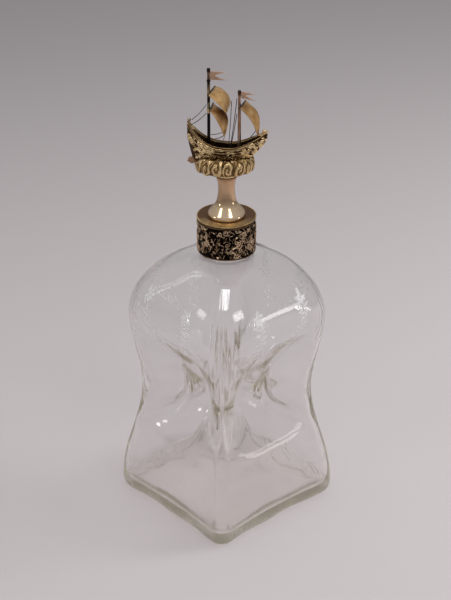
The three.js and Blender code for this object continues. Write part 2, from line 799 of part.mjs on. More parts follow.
const decanter = new THREE.Group();
piece('glass_bottle', glassBottle(), 'glass', decanter);
piece('collar_band', collarBand(), 'dark', decanter);
piece('collar_top_plate', collarTopPlate(), 'gilt', decanter);
piece('collar_cement', collarCement(), 'plaster', decanter);

const stopper = new THREE.Group();
decanter.add(stopper);
piece('stopper_cork', stopperCork(), 'cork', stopper);
piece('cork_rod', corkRod(), 'brass', stopper);
piece('cork_washer', corkWasher(), 'brass', stopper);
piece('cork_nut', corkNut(), 'brass', stopper);
piece('stopper_dome', stopperDome(), 'champagne', stopper);
piece('dome_plate', domePlate(), 'champagne', stopper);
piece('stem_ring', stemRing(), 'gilt', stopper);
piece('wave_platform', platform.geometry, 'gilt', stopper);
stopper.add(ship);

piece('hull_shell', hullShell(), 'gilt', ship);
piece('hull_deck', hullDeck(), 'dark', ship);
piece('port_rail', rail(1), 'gilt', ship);
piece('starboard_rail', rail(-1), 'gilt', ship);
piece('stern_finial', knob(finialX, finialRadius), 'gilt', ship);
piece('prow_scroll', knob(bowX(1) - prowHalfWidth, prowKnobRadius), 'gilt', ship);
piece('rudder', rudder(), 'gilt', ship);
piece('main_mast', mast(mainMastX, mainMastRadius, mainMastTop), 'dark', ship);
piece('fore_mast', mast(foreMastX, foreMastRadius, foreMastTop), 'gilt', ship);
piece('main_mast_ring', mastRing(mainMastX, mainMastRadius), 'gilt', ship);
piece('fore_mast_ring', mastRing(foreMastX, foreMastRadius), 'gilt', ship);
piece('topsail_yard', yard(topsail), 'dark', ship);
piece('course_yard', yard(course), 'dark', ship);
piece('fore_yard', yard(foresail), 'dark', ship);
piece('main_topsail', sailGeometry(topsail), 'sail', ship);
piece('main_course', sailGeometry(course), 'sail', ship);
piece('foresail', sailGeometry(foresail), 'sail', ship);
piece('main_pennant', pennant(mainMastX, mainMastRadius, mainMastTop, mainPennant), 'sail', ship);
piece('fore_pennant', pennant(foreMastX, foreMastRadius, foreMastTop, forePennant), 'sail', ship);
for (const [name, points] of Object.entries(rigging())) {
  piece(name, wire(points, 3 * (points.length - 1)), 'dark', ship);
}

export default decanter;
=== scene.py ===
import math
import random

import bpy
import numpy as np
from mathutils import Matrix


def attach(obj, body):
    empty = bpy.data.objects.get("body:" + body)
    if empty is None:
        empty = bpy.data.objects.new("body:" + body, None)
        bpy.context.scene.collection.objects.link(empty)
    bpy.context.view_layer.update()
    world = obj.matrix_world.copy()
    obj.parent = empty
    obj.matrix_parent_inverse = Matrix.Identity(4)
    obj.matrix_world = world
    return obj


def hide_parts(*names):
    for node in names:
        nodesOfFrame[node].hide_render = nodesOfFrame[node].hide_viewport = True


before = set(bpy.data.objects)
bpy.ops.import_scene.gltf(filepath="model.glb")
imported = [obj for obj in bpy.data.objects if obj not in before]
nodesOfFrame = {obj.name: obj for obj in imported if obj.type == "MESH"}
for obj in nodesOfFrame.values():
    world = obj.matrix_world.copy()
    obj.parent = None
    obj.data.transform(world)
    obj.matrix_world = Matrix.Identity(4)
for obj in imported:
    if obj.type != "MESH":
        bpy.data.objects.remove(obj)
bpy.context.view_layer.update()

mm = 0.001
seatGap = 0.3          # between pieces that touch, in mm
scene = bpy.context.scene


# small helpers for shapes, all in millimetres until place()

def lerp(a, b, t):
    return a + (b - a) * t


def smooth(x, low, high):
    t = np.clip((x - low) / (high - low), 0, 1)
    return t * t * (3 - 2 * t)


def smoothMin(a, b, k):
    share = np.clip(0.5 + 0.5 * (b - a) / k, 0, 1)
    return lerp(b, a, share) - k * share * (1 - share)


def smoothMax(a, b, k):
    return -smoothMin(-a, -b, k)


def alone():
    if bpy.context.object and bpy.context.object.mode != "OBJECT":
        bpy.ops.object.mode_set(mode="OBJECT")
    bpy.ops.object.select_all(action="DESELECT")


def editAll():
    bpy.ops.object.mode_set(mode="EDIT")
    bpy.ops.mesh.select_mode(type="VERT")
    bpy.ops.mesh.select_all(action="SELECT")


def tidyMesh(merge=1e-6, angle=35):
    editAll()
    bpy.ops.mesh.remove_doubles(threshold=merge)
    bpy.ops.mesh.normals_make_consistent(inside=False)
    bpy.ops.object.mode_set(mode="OBJECT")
    bpy.ops.object.shade_smooth_by_angle(angle=math.radians(angle))


def namedPiece(name):
    obj = bpy.context.object
    obj.name = name
    obj.data.name = name
    bpy.ops.object.transform_apply(location=True, rotation=True, scale=True)
    return obj


def shapedGrid(name, columns, rows, place, height=None, closed=True, angle=35, tone=None):
    # a grid carried to its place by place(a, b); height(a, b) then lifts it along its own normals;
    # tone(a, b, level) says how bright the metal's patina, and any painted light or shade, is there,
    # else it is the relief's own level
    alone()
    bpy.ops.mesh.primitive_grid_add(x_subdivisions=columns, y_subdivisions=rows, size=1)
    obj = namedPiece(name)
    count = len(obj.data.vertices)
    flat = np.empty(count * 3)
    obj.data.vertices.foreach_get("co", flat)
    a, b = flat.reshape(-1, 3)[:, 0] + 0.5, flat.reshape(-1, 3)[:, 1] + 0.5
    order = np.lexsort((np.round(a, 6), np.round(b, 6)))
    wide = len(np.unique(np.round(a, 5)))
    a, b = a[order].reshape(-1, wide), b[order].reshape(-1, wide)
    points = np.stack(place(a, b), axis=-1).astype(float)
    relief = np.zeros(a.shape)
    if height is not None:
        relief = height(a, b)
        if closed:
            wrapped = np.concatenate([points[:, -2:-1], points, points[:, 1:2]], axis=1)
            along = wrapped[:, 2:] - wrapped[:, :-2]
        else:
            along = np.gradient(points, axis=1)
        across = np.gradient(points, axis=0)
        normal = np.cross(along, across)
        normal /= np.maximum(np.linalg.norm(normal, axis=-1, keepdims=True), 1e-9)
        points = points + normal * relief[..., None]
        if closed:
            points[:, -1] = points[:, 0]
    back = np.empty((count, 3))
    back[order] = points.reshape(-1, 3) * mm
    obj.data.vertices.foreach_set("co", back.ravel())
    level = relief - relief.min()
    level = level / max(level.max(), 1e-9)
    if tone is not None:
        level = tone(a, b, level)
    stored = obj.data.attributes.new("relief", "FLOAT", "POINT")
    values = np.empty(count)
    values[order] = level.ravel()
    stored.data.foreach_set("value", values)
    obj.data.update()
    tidyMesh(angle=angle)
    return obj


def turned(name, points, steps=96, hollow=True, angle=35):
    # a lathe piece: a circle drawn along its [radius, height] profile, closed on itself or capped
    alone()
    radius, level = points[0]
    bpy.ops.mesh.primitive_circle_add(vertices=steps, radius=radius * mm, location=(0, 0, level * mm),
                                      fill_type="NOTHING" if hollow else "TRIFAN")
    obj = namedPiece(name)
    editAll()
    for nextRadius, nextLevel in points[1:]:
        bpy.ops.mesh.extrude_region_move(TRANSFORM_OT_translate={"value": (0, 0, (nextLevel - level) * mm)})
        ratio = max(nextRadius, 0.001) / radius
        bpy.ops.transform.resize(value=(ratio, ratio, 1))
        radius, level = max(nextRadius, 0.001), nextLevel
    if hollow:
        bpy.ops.mesh.select_all(action="DESELECT")
        bpy.ops.mesh.select_non_manifold()
        bpy.ops.mesh.bridge_edge_loops()
    bpy.ops.object.mode_set(mode="OBJECT")
    tidyMesh(merge=2e-6, angle=angle)
    return obj


def moved(obj, offset=(0, 0, 0), turn=(0, 0, 0)):
    alone()
    obj.select_set(True)
    bpy.context.view_layer.objects.active = obj
    obj.rotation_euler = [math.radians(t) for t in turn]
    obj.location = [v * mm for v in offset]
    bpy.ops.object.transform_apply(location=True, rotation=True, scale=True)
    return obj


def finished(obj, body, slotName, material, *replaced):
    obj.data.materials.clear()
    obj.data.materials.append(material)
    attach(obj, body)
    if replaced:
        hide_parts(*replaced)
    return obj


def dressed(material, *names):
    for name in names:
        nodesOfFrame[name].data.materials.clear()
        nodesOfFrame[name].data.materials.append(material)


def thickened(obj, thickness):
    thick = obj.modifiers.new("sheetThickness", "SOLIDIFY")
    thick.thickness = thickness * mm
    thick.offset = 0
    bpy.context.view_layer.objects.active = obj
    bpy.ops.object.modifier_apply(modifier=thick.name)
    return obj


def capped(obj):
    # fills the open ends of the piece that was just made
    editAll()
    bpy.ops.mesh.select_all(action="DESELECT")
    bpy.ops.mesh.select_non_manifold()
    bpy.ops.mesh.fill_holes(sides=0)
    bpy.ops.mesh.select_all(action="SELECT")
    bpy.ops.mesh.normals_make_consistent(inside=False)
    bpy.ops.object.mode_set(mode="OBJECT")
    return obj


# shader groups, shared by the finishes

def newGroup(name, inputs, outputs):
    group = bpy.data.node_groups.new(name, "ShaderNodeTree")
    for label, kind, value in inputs:
        socket = group.interface.new_socket(name=label, in_out="INPUT", socket_type="NodeSocket" + kind)
        if value is not None:
            socket.default_value = value
    for label, kind in outputs:
        group.interface.new_socket(name=label, in_out="OUTPUT", socket_type="NodeSocket" + kind)
    return group, group.nodes.new("NodeGroupInput"), group.nodes.new("NodeGroupOutput")


def addNode(tree, kind, settings=None, **values):
    node = tree.nodes.new("ShaderNode" + kind)
    for key, value in (settings or {}).items():
        setattr(node, key, value)
    for key, value in values.items():
        node.inputs[key.replace("_", " ")].default_value = value
    return node


def mixColours(tree, factor, first, second):
    mix = addNode(tree, "Mix", {"data_type": "RGBA"})
    for socket, value in ((0, factor), (6, first), (7, second)):
        if hasattr(value, "is_output"):
            tree.links.new(value, mix.inputs[socket])
        else:
            mix.inputs[socket].default_value = value
    return mix.outputs[2]


def mapped(tree, value, low, high, toLow=0.0, toHigh=1.0):
    node = addNode(tree, "MapRange", {"interpolation_type": "SMOOTHSTEP"})
    for index, number in ((1, low), (2, high), (3, toLow), (4, toHigh)):
        node.inputs[index].default_value = number
    tree.links.new(value, node.inputs[0])
    return node.outputs[0]


def maths(tree, operation, first, second):
    node = addNode(tree, "Math", {"operation": operation})
    for index, value in ((0, first), (1, second)):
        if hasattr(value, "is_output"):
            tree.links.new(value, node.inputs[index])
        else:
            node.inputs[index].default_value = value
    return node.outputs[0]


def objectPlace(tree):
    return addNode(tree, "TexCoord").outputs["Object"]


def fed(tree, vector, kind, settings=None, **values):
    # a node that reads the given vector
    node = addNode(tree, kind, settings, **values)
    tree.links.new(vector, node.inputs["Vector"])
    return node


def makePatinaGroup():
    # metal that stayed dark in its hollows and was rubbed bright on its high points
    group, source, sink = newGroup("patinaInHollows", [
        ("Relief", "Float", 0.5), ("Bright", "Color", (0.8, 0.6, 0.35, 1)),
        ("Middle", "Color", (0.4, 0.28, 0.15, 1)),
        ("Dark", "Color", (0.03, 0.02, 0.015, 1)), ("Level", "Float", 0.5), ("Patchiness", "Float", 0.3),
        ("Grain", "Float", 900.0), ("Polish", "Float", 0.22), ("Dull", "Float", 0.6),
    ], [("Color", "Color"), ("Roughness", "Float"), ("Height", "Float")])
    link = group.links.new
    place = objectPlace(group)
    patches = fed(group, place, "TexNoise", Scale=170.0, Detail=4.0, Roughness=0.6)
    grain = fed(group, place, "TexNoise", Detail=3.0)
    link(source.outputs["Grain"], grain.inputs["Scale"])
    uneven = maths(group, "MULTIPLY", maths(group, "SUBTRACT", patches.outputs[0], 0.5),
                   source.outputs["Patchiness"])
    shown = maths(group, "ADD", maths(group, "SUBTRACT", source.outputs["Relief"], source.outputs["Level"]),
                  uneven)
    low = mixColours(group, mapped(group, shown, -0.32, 0.02), source.outputs["Dark"],
                     source.outputs["Middle"])
    colour = mixColours(group, mapped(group, shown, -0.02, 0.3), low, source.outputs["Bright"])
    link(colour, sink.inputs["Color"])
    rubbed = mapped(group, shown, -0.3, 0.25)
    spread = maths(group, "MULTIPLY",
                   maths(group, "SUBTRACT", source.outputs["Dull"], source.outputs["Polish"]), rubbed)
    rough = maths(group, "SUBTRACT", source.outputs["Dull"], spread)
    speckle = maths(group, "MULTIPLY", maths(group, "SUBTRACT", grain.outputs[0], 0.5), 0.25)
    link(maths(group, "ADD", rough, speckle), sink.inputs["Roughness"])
    link(grain.outputs[0], sink.inputs["Height"])
    return group


def makeHandledGroup():
    # faint smears and dust on a smooth surface, with fine lines drawn out along or round the piece
    group, source, sink = newGroup("handledSurface", [
        ("Base Color", "Color", (0.8, 0.7, 0.5, 1)), ("Stain", "Color", (0.4, 0.3, 0.2, 1)),
        ("Stain Amount", "Float", 0.3),
        ("Stretch", "Vector", (1.0, 1.0, 1.0)), ("Line Scale", "Float", 900.0), ("Smooth", "Float", 0.15),
        ("Worn", "Float", 0.3),
    ], [("Color", "Color"), ("Roughness", "Float"), ("Height", "Float")])
    link = group.links.new
    place = objectPlace(group)
    smear = fed(group, place, "TexNoise", Scale=60.0, Detail=5.0, Roughness=0.65, Distortion=0.6)
    stretch = fed(group, place, "Mapping")
    link(source.outputs["Stretch"], stretch.inputs["Scale"])
    lines = fed(group, stretch.outputs[0], "TexNoise", Detail=2.0)
    link(source.outputs["Line Scale"], lines.inputs["Scale"])
    stained = maths(group, "MULTIPLY", mapped(group, smear.outputs[0], 0.42, 0.72),
                    source.outputs["Stain Amount"])
    link(mixColours(group, stained, source.outputs["Base Color"], source.outputs["Stain"]),
         sink.inputs["Color"])
    wear = maths(group, "ADD", maths(group, "MULTIPLY", smear.outputs[0], 0.6),
                 maths(group, "MULTIPLY", lines.outputs[0], 0.4))
    gap = maths(group, "SUBTRACT", source.outputs["Worn"], source.outputs["Smooth"])
    link(maths(group, "ADD", source.outputs["Smooth"], maths(group, "MULTIPLY", wear, gap)),
         sink.inputs["Roughness"])
    link(lines.outputs[0], sink.inputs["Height"])
    return group


patinaGroup = makePatinaGroup()
handledGroup = makeHandledGroup()


def newMaterial(name):
    material = bpy.data.materials.new(name)
    material.use_nodes = True
    tree = material.node_tree
    tree.nodes.clear()
    shader = addNode(tree, "BsdfPrincipled")
    output = addNode(tree, "OutputMaterial")
    tree.links.new(shader.outputs[0], output.inputs["Surface"])
    return material, tree, shader, output


def bumped(tree, shader, height, strength, distance):
    bump = addNode(tree, "Bump", Strength=strength, Distance=distance)
    tree.links.new(height, bump.inputs["Height"])
    tree.links.new(bump.outputs[0], shader.inputs["Normal"])


def finish(name, group, settings, metallic, bump, distance=0.00005):
    # a material that takes its colour, roughness and fine bump from a group
    material, tree, shader, output = newMaterial(name)
    source = addNode(tree, "Group", {"node_tree": group})
    for label, value in settings.items():
        source.inputs[label].default_value = value
    shader.inputs["Metallic"].default_value = metallic
    tree.links.new(source.outputs["Color"], shader.inputs["Base Color"])
    tree.links.new(source.outputs["Roughness"], shader.inputs["Roughness"])
    bumped(tree, shader, source.outputs["Height"], bump, distance)
    return material, tree, source


def patinaMaterial(name, piece, level, patchiness, polish, dull, grain=900.0):
    settings = {"Level": level, "Patchiness": patchiness, "Polish": polish, "Dull": dull, "Grain": grain}
    for label in ("Bright", "Middle", "Dark"):
        settings[label] = (*piece[label.lower()], 1)
    material, tree, source = finish(name, patinaGroup, settings, 1, 0.35, 0.0001)
    attribute = addNode(tree, "Attribute", {"attribute_name": "relief"})
    tree.links.new(attribute.outputs["Fac"], source.inputs["Relief"])
    return material


def handledMaterial(name, base, stain, amount, stretch=(1, 1, 1), lines=900.0, least=0.15, worn=0.3,
                    metallic=1.0, bump=0.15):
    settings = {"Base Color": (*base, 1), "Stain": (*stain, 1), "Stain Amount": amount, "Stretch": stretch}
    settings.update({"Line Scale": lines, "Smooth": least, "Worn": worn})
    return finish(name, handledGroup, settings, metallic, bump)[0]


print("shader groups ready")

# glass bottle

bottle = {
    "baseReach": 72.7, "straightFoot": 10, "waistHeight": 86, "waistReach": 57.5,
    "shoulderHeight": 140, "shoulderReach": 65.4, "shoulderRise": 44.5,
    "cornerRadius": 9, "roundingBelow": 30, "roundingLength": 95, "footRadius": 8.5,
    "lowerWall": 4.2, "upperWall": 2.3, "wallChangeBelow": 2, "wallChangeLength": 22,
    "floorThickness": 6.5, "floorRadius": 12, "puntRadius": 34, "puntHeight": 3,
    "coreRadius": 25.8, "pinchBelow": 34, "pinchAbove": 60, "slopeWall": 0.5,
    "finThickness": 14.5, "finFillet": 5, "pinchFillet": 7,
    "neckLength": 24.9, "neckRadius": 16.5, "neckFillet": 12,
    "boreRadius": 11.6, "boreTaper": 0.6, "lipRounding": 0.8,
    "waviness": 0.22,               # unevenness of the blown inside
    "streaks": 0.34, "streakPitch": 4.6, "footWaves": 1.1, "cornerFoot": 0.5,
    "columns": 320, "step": 1.5,
}
domeTop = bottle["shoulderHeight"] + bottle["shoulderRise"]
neckHeight = domeTop + bottle["neckLength"]


def wallAt(z):
    start = bottle["waistHeight"] - bottle["wallChangeBelow"]
    return lerp(bottle["lowerWall"], bottle["upperWall"],
                smooth(z, start, start + bottle["wallChangeLength"]))


def boreAt(z):
    return bottle["boreRadius"] - bottle["boreTaper"] * smooth(neckHeight - z, 0, bottle["neckLength"])


def cornerReach(z, wall):
    g = bottle

    def swell(t):
        return 0.5 - 0.5 * np.cos(np.pi * np.clip(t, 0, 1))

    low = lerp(g["baseReach"], g["waistReach"],
               swell((z - g["straightFoot"]) / (g["waistHeight"] - g["straightFoot"])))
    mid = lerp(g["waistReach"], g["shoulderReach"],
               swell((z - g["waistHeight"]) / (g["shoulderHeight"] - g["waistHeight"])))
    t = (z - g["shoulderHeight"]) / (g["shoulderRise"] - wall)
    dome = (g["shoulderReach"] - wall) * np.sqrt(np.clip(1 - t * t, 0, 1))
    top = smoothMax(dome, np.where(wall > 0, boreAt(z), g["neckRadius"]), g["neckFillet"])
    return np.where(z < g["waistHeight"], low - wall, np.where(z < g["shoulderHeight"], mid - wall, top))


def sideShape(z, wall, inset):
    g = bottle
    reach = cornerReach(z, wall)
    start = g["shoulderHeight"] - g["roundingBelow"]
    rounding = lerp(g["cornerRadius"], cornerReach(z, 0 * z), smooth(z, start, start + g["roundingLength"]))
    radius = np.minimum(reach, np.maximum(2.5, rounding - wall))
    half = (reach - radius) / math.sqrt(2) + radius - inset
    lift = z - g["waistHeight"]
    ended = smooth(np.abs(lift) / np.where(lift > 0, g["pinchAbove"], g["pinchBelow"]), 0, 1)
    core = g["coreRadius"] - wall * (1 + g["slopeWall"] * ended * (1 - ended))
    flank = (g["finThickness"] - 2 * wall) / math.sqrt(2)

    def wallAway(u):
        past = np.maximum(0, u - (half - radius))
        body = half - radius + np.sqrt(np.maximum(0, radius ** 2 - past ** 2))
        neck = np.sqrt(np.maximum(0, core ** 2 - u ** 2))
        pinched = smoothMin(body, smoothMax(u + flank, neck, g["finFillet"]), g["pinchFillet"])
        return lerp(pinched, body, ended)

    inside, outside = 0 * half, half * 1.0
    for _ in range(26):
        middle = (inside + outside) / 2
        over = wallAway(middle) > middle
        inside, outside = np.where(over, middle, inside), np.where(over, outside, middle)
    return wallAway, inside


def glassSection(a, z, wall, inset):
    # a runs once round the level section, starting at the middle of the +X side
    side = np.floor(a * 4 + 1e-9)
    t = a * 4 - side
    wallAway, edge = sideShape(z, wall, inset)
    u = edge * (1 - (1 - np.clip(np.where(t <= 0.5, 2 * t, 2 - 2 * t), 0, 1)) ** 1.35)
    w = wallAway(u)
    x, y = np.where(t <= 0.5, w, u), np.where(t <= 0.5, u, w)
    turn = side * math.pi / 2
    return x * np.cos(turn) - y * np.sin(turn), x * np.sin(turn) + y * np.cos(turn)


def insetAt(rise, radius):
    return radius - math.sqrt(radius ** 2 - max(0, radius - rise) ** 2)


def glassRows():
    # every level of the skin, from the middle of the underside over the lip to the middle of the floor:
    # (height, wall, inset, round radius or 0)
    g = bottle
    foot = insetAt(0, g["footRadius"])
    rows = [(g["puntHeight"] * (1 - share ** 2), 0, foot, g["puntRadius"] * share)
            for share in (0.001, 0.25, 0.5, 0.75, 0.9, 1)]
    rows += [(0, 0, foot, 0)]
    rows += [(g["footRadius"] * s, 0, insetAt(g["footRadius"] * s, g["footRadius"]), 0)
             for s in (0.03, 0.1, 0.2, 0.34, 0.5, 0.7)]
    rows += [(z, 0, 0, 0) for z in np.arange(g["footRadius"], domeTop - 9, g["step"])]
    rows += [(z, 0, 0, 0) for z in np.arange(domeTop - 9, domeTop + 0.5, 0.6)]
    neck, bore, lip = g["neckRadius"], g["boreRadius"], g["lipRounding"]
    rows += [(z, 0, 0, neck) for z in (domeTop + 1, neckHeight - 8, neckHeight - lip)]
    rows += [(neckHeight - lip * 0.3, 0, 0, neck - lip * 0.3), (neckHeight, 0, 0, neck - lip)]
    rows += [(neckHeight, 0, 0, bore + lip * 0.6), (neckHeight - lip * 0.4, 0, 0, bore + lip * 0.15),
             (neckHeight - lip, 0, 0, bore)]
    floorEnd = g["floorThickness"] + g["floorRadius"]
    boreRoot = domeTop - 8 - g["upperWall"]
    inner = [(g["floorThickness"] + g["floorRadius"] * s, insetAt(g["floorRadius"] * s, g["floorRadius"]))
             for s in (0, 0.03, 0.1, 0.2, 0.34, 0.5, 0.7)]
    inner += [(z, 0) for z in np.arange(floorEnd, boreRoot, g["step"])]
    inner += [(z, 0) for z in np.arange(boreRoot, boreRoot + 12, 0.7)]
    inside = [(z, float(wallAt(z)), inset, 0) for z, inset in inner]
    rows += [(z, 1, 0, float(boreAt(z))) for z in (neckHeight - 6, neckHeight - 14)]
    rows += inside[::-1]
    rise = g["floorThickness"] + g["puntHeight"] * 0.5
    rows += [(lerp(rise, g["floorThickness"], share ** 2), 1, inside[0][2], g["puntRadius"] * share)
             for share in (0.9, 0.6, 0.3, 0.001)]
    return np.array(rows, float)


def makeBottle():
    rows = glassRows()
    wavy = bottle["waviness"]

    def place(a, b):
        level = np.clip(np.round(b * (len(rows) - 1)).astype(int), 0, len(rows) - 1)
        z, wall, inset, ring = (rows[level, i] for i in range(4))
        likeZ = np.where(ring > 0,
                         np.where(z > 100, domeTop + 1, np.where(wall > 0, bottle["floorThickness"], 0)), z)
        around = 2 * math.pi * a
        ripple = wavy * (np.sin(3 * around + z * 0.11) + np.sin(5 * around - z * 0.17 + 1.3)
                         + np.sin(z * 0.31 + 2 * around))
        fade = smooth(z, 14, 30) * smooth(domeTop - z, 0, 16)
        fromCorner = np.abs(np.mod(a * 4, 1) - 0.5) * 90
        drawn = np.cos(2 * math.pi * fromCorner / bottle["streakPitch"] + 0.05
                       * z) * np.exp(-(fromCorner / 13) ** 2)
        ripple = ripple + bottle["streaks"] * drawn * np.exp(-((z - 134) / 24) ** 2)
        thick = np.where((wall > 0) & (ring == 0), wall + ripple * fade * (wall / bottle["lowerWall"]),
                         wall)
        side = smooth(fromCorner, 6, 20) * (1 - smooth(z, 8, 22))
        inset = inset * lerp(bottle["cornerFoot"], 1, smooth(fromCorner, 3, 42))
        inset = inset + np.where(wall == 0,
                                 bottle["footWaves"] * side
                                 * (0.5 + 0.5 * np.sin(9 * around + 0.8 * np.sin(4 * around))), 0)
        x, y = glassSection(np.mod(a, 1), likeZ, np.where(ring > 0, np.minimum(thick, 4), thick), inset)
        scale = np.where(ring > 0, ring / np.maximum(np.hypot(x, y), 1e-6), 1)
        return x * scale, y * scale, z

    return shapedGrid("clear_bottle", bottle["columns"], len(rows) - 1, place, angle=50)


outerWall = (0.040, 0.048)          # how far from the axis the outer walls begin, in metres


def glassMaterial():
    material, tree, shader, output = newMaterial("clearGlass")
    shader.inputs["Base Color"].default_value = (0.962, 0.957, 0.957, 1)
    shader.inputs["Transmission Weight"].default_value = 1
    shader.inputs["IOR"].default_value = 1.5
    place = objectPlace(tree)
    smear = fed(tree, place, "TexNoise", Scale=18.0, Detail=5.0, Roughness=0.6, Distortion=0.4)
    tree.links.new(mapped(tree, smear.outputs[0], 0.55, 0.8, 0.0, 0.035), shader.inputs["Roughness"])
    stretch = fed(tree, place, "Mapping", Scale=(1, 1, 0.35))
    drawn = fed(tree, stretch.outputs[0], "TexNoise", Scale=26.0, Detail=1.0)
    apart = fed(tree, place, "SeparateXYZ")
    crumpled = fed(tree, place, "TexNoise", Scale=380.0, Detail=3.0, Roughness=0.6)
    reach = maths(tree, "MAXIMUM", maths(tree, "ABSOLUTE", apart.outputs[0], 0),
                  maths(tree, "ABSOLUTE", apart.outputs[1], 0))
    low = maths(tree, "MULTIPLY", mapped(tree, apart.outputs[2], 0.003, 0.016, 3.6, 0.0),
                mapped(tree, reach, *outerWall, 0.08, 1.0))
    uneven = maths(tree, "ADD", maths(tree, "MULTIPLY", drawn.outputs[0], 0.22),
                   maths(tree, "MULTIPLY", crumpled.outputs[0], low))
    bumped(tree, shader, uneven, 0.5, 0.0007)
    tint = addNode(tree, "VolumeAbsorption", Density=11.0)
    tint.inputs["Color"].default_value = (0.795, 0.76, 0.64, 1)
    tree.links.new(tint.outputs[0], output.inputs["Volume"])
    clear = addNode(tree, "BsdfTransparent")
    wallShade = mixColours(tree, mapped(tree, reach, *outerWall), (0.975, 0.97, 0.975, 1),
                           (0.87, 0.86, 0.86, 1))
    tree.links.new(wallShade, clear.inputs["Color"])
    path = addNode(tree, "LightPath")
    mix = addNode(tree, "MixShader")
    tree.links.new(path.outputs["Is Shadow Ray"], mix.inputs[0])
    tree.links.new(shader.outputs[0], mix.inputs[1])
    tree.links.new(clear.outputs[0], mix.inputs[2])
    tree.links.new(mix.outputs[0], output.inputs["Surface"])
    return material


clearBottle = makeBottle()
finished(clearBottle, "decanter", "clear_glass", glassMaterial(), "glass_bottle")
print("bottle", len(clearBottle.data.polygons), "faces")

sprigs = {"film": 0.03, "alpha": 0.30, "seed": 21, "leafAcross": 3, "leafAlong": 9}


def onShoulder(side, u, z):
    # the glass surface on one side, u from its middle line
    around = side * math.pi / 2
    z = np.asarray(z, float)
    wallAway, edge = sideShape(z, 0 * z, 0 * z)
    w = wallAway(np.minimum(np.abs(u), edge)) + sprigs["film"]
    return np.stack([w * math.cos(around) - u * math.sin(around),
                     w * math.sin(around) + u * math.cos(around), z], axis=-1)


def makeSprigs():
    # a flower on a bent stem with leaves to both sides, drawn twice on every side of the shoulder
    points, faces = [], []
    g = sprigs
    picks = random.Random(g["seed"])

    def leaf(side, at, angle, length, width):
        t, s = np.meshgrid(np.linspace(0, 1, g["leafAlong"]), np.linspace(-1, 1, g["leafAcross"]))
        across = s * width * np.sin(math.pi * t) ** 0.8
        bend = angle + 0.5 * t * picks.choice((-1, 1))
        u = at[0] + length * t * np.cos(bend) - across * np.sin(bend)
        z = at[1] + length * t * np.sin(bend) + across * np.cos(bend)
        first = len(points)
        points.extend((onShoulder(side, u, z).reshape(-1, 3) * mm).tolist())
        wide = g["leafAlong"]
        for row in range(g["leafAcross"] - 1):
            for i in range(wide - 1):
                low = first + row * wide + i
                faces.append((low, low + 1, low + 1 + wide, low + wide))

    for side in range(4):
        for hand in (-1, 1):
            at = (hand * 4.0, 128 + picks.uniform(-2, 2))
            for step in range(11):
                heading = math.pi / 2 - hand * (0.95 - 0.11 * step)
                leaf(side, at, heading, 4.2, 0.30)
                leaf(side, at, heading + picks.uniform(0.6, 1.0), picks.uniform(4.5, 7.5),
                     picks.uniform(0.7, 1.1))
                leaf(side, at, heading - picks.uniform(0.6, 1.0), picks.uniform(4.5, 7.5),
                     picks.uniform(0.7, 1.1))
                at = (at[0] + 3.6 * math.cos(heading), at[1] + 3.6 * math.sin(heading))
            for petal in range(7):
                leaf(side, at, petal * 2 * math.pi / 7, 5.2, 1.3)
    mesh = bpy.data.meshes.new("engraved_sprigs")
    mesh.from_pydata(points, [], faces)
    obj = bpy.data.objects.new("engraved_sprigs", mesh)
    scene.collection.objects.link(obj)
    bpy.context.view_layer.objects.active = obj
    return obj


def sprigMaterial():
    material, tree, shader, output = newMaterial("engravedFrost")
    grain = fed(tree, objectPlace(tree), "TexNoise", Scale=700.0, Detail=2.0)
    tree.links.new(mixColours(tree, grain.outputs[0], (0.86, 0.86, 0.87, 1), (0.97, 0.97, 0.97, 1)),
                   shader.inputs["Base Color"])
    shader.inputs["Roughness"].default_value = 0.7
    tree.links.new(mapped(tree, grain.outputs[0], 0.3, 0.7, 0.5 * sprigs["alpha"], 1.5 * sprigs["alpha"]),
                   shader.inputs["Alpha"])
    return material


finished(makeSprigs(), "decanter", "clear_glass", sprigMaterial())
print("sprigs engraved")

# relief drawing: curved ridges and leaves stamped into a height map

def curl(centreU, centreV, size, turns, start, hand):
    # points of a scroll that winds inward
    t = np.linspace(0, 1, 26)
    angle = start + hand * turns * 2 * math.pi * t
    radius = size * (1 - t) ** 0.8 + 0.12 * size
    return centreU + radius * np.cos(angle), centreV + radius * np.sin(angle)


def stampRidge(height, u, v, line, width, rise, taper=0.5):
    # raises a rounded ridge along a line of points, thinner towards its end
    lineU, lineV = line
    near = (np.abs(u - lineU.mean()) < np.ptp(lineU) + 2
            * width) & (np.abs(v - lineV.mean()) < np.ptp(lineV) + 2 * width)
    if not near.any():
        return
    du = u[near][:, None] - lineU[None, :]
    dv = v[near][:, None] - lineV[None, :]
    wide = width * (1 - taper * np.linspace(0, 1, len(lineU)))[None, :]
    far = np.min((du ** 2 + dv ** 2) / wide ** 2, axis=1)
    height[near] = np.maximum(height[near], rise * np.sqrt(np.maximum(0, 1 - far)))


def stampLeaf(height, u, v, at, length, width, angle, rise):
    # a pointed leaf with a groove down its middle
    c, s = math.cos(angle), math.sin(angle)
    along = ((u - at[0]) * c + (v - at[1]) * s) / length
    across = ((v - at[1]) * c - (u - at[0])
              * s) / (width * np.maximum(0.02, np.sin(math.pi * np.clip(along, 0, 1)) ** 0.7))
    inside = (along > 0) & (along < 1) & (np.abs(across) < 1)
    body = rise * np.sqrt(np.maximum(0, 1 - across ** 2)) * (1 - 0.45 * np.exp(-(across / 0.18) ** 2))
    height[inside] = np.maximum(height[inside], body[inside])


# collar, its top plate and the cement inside

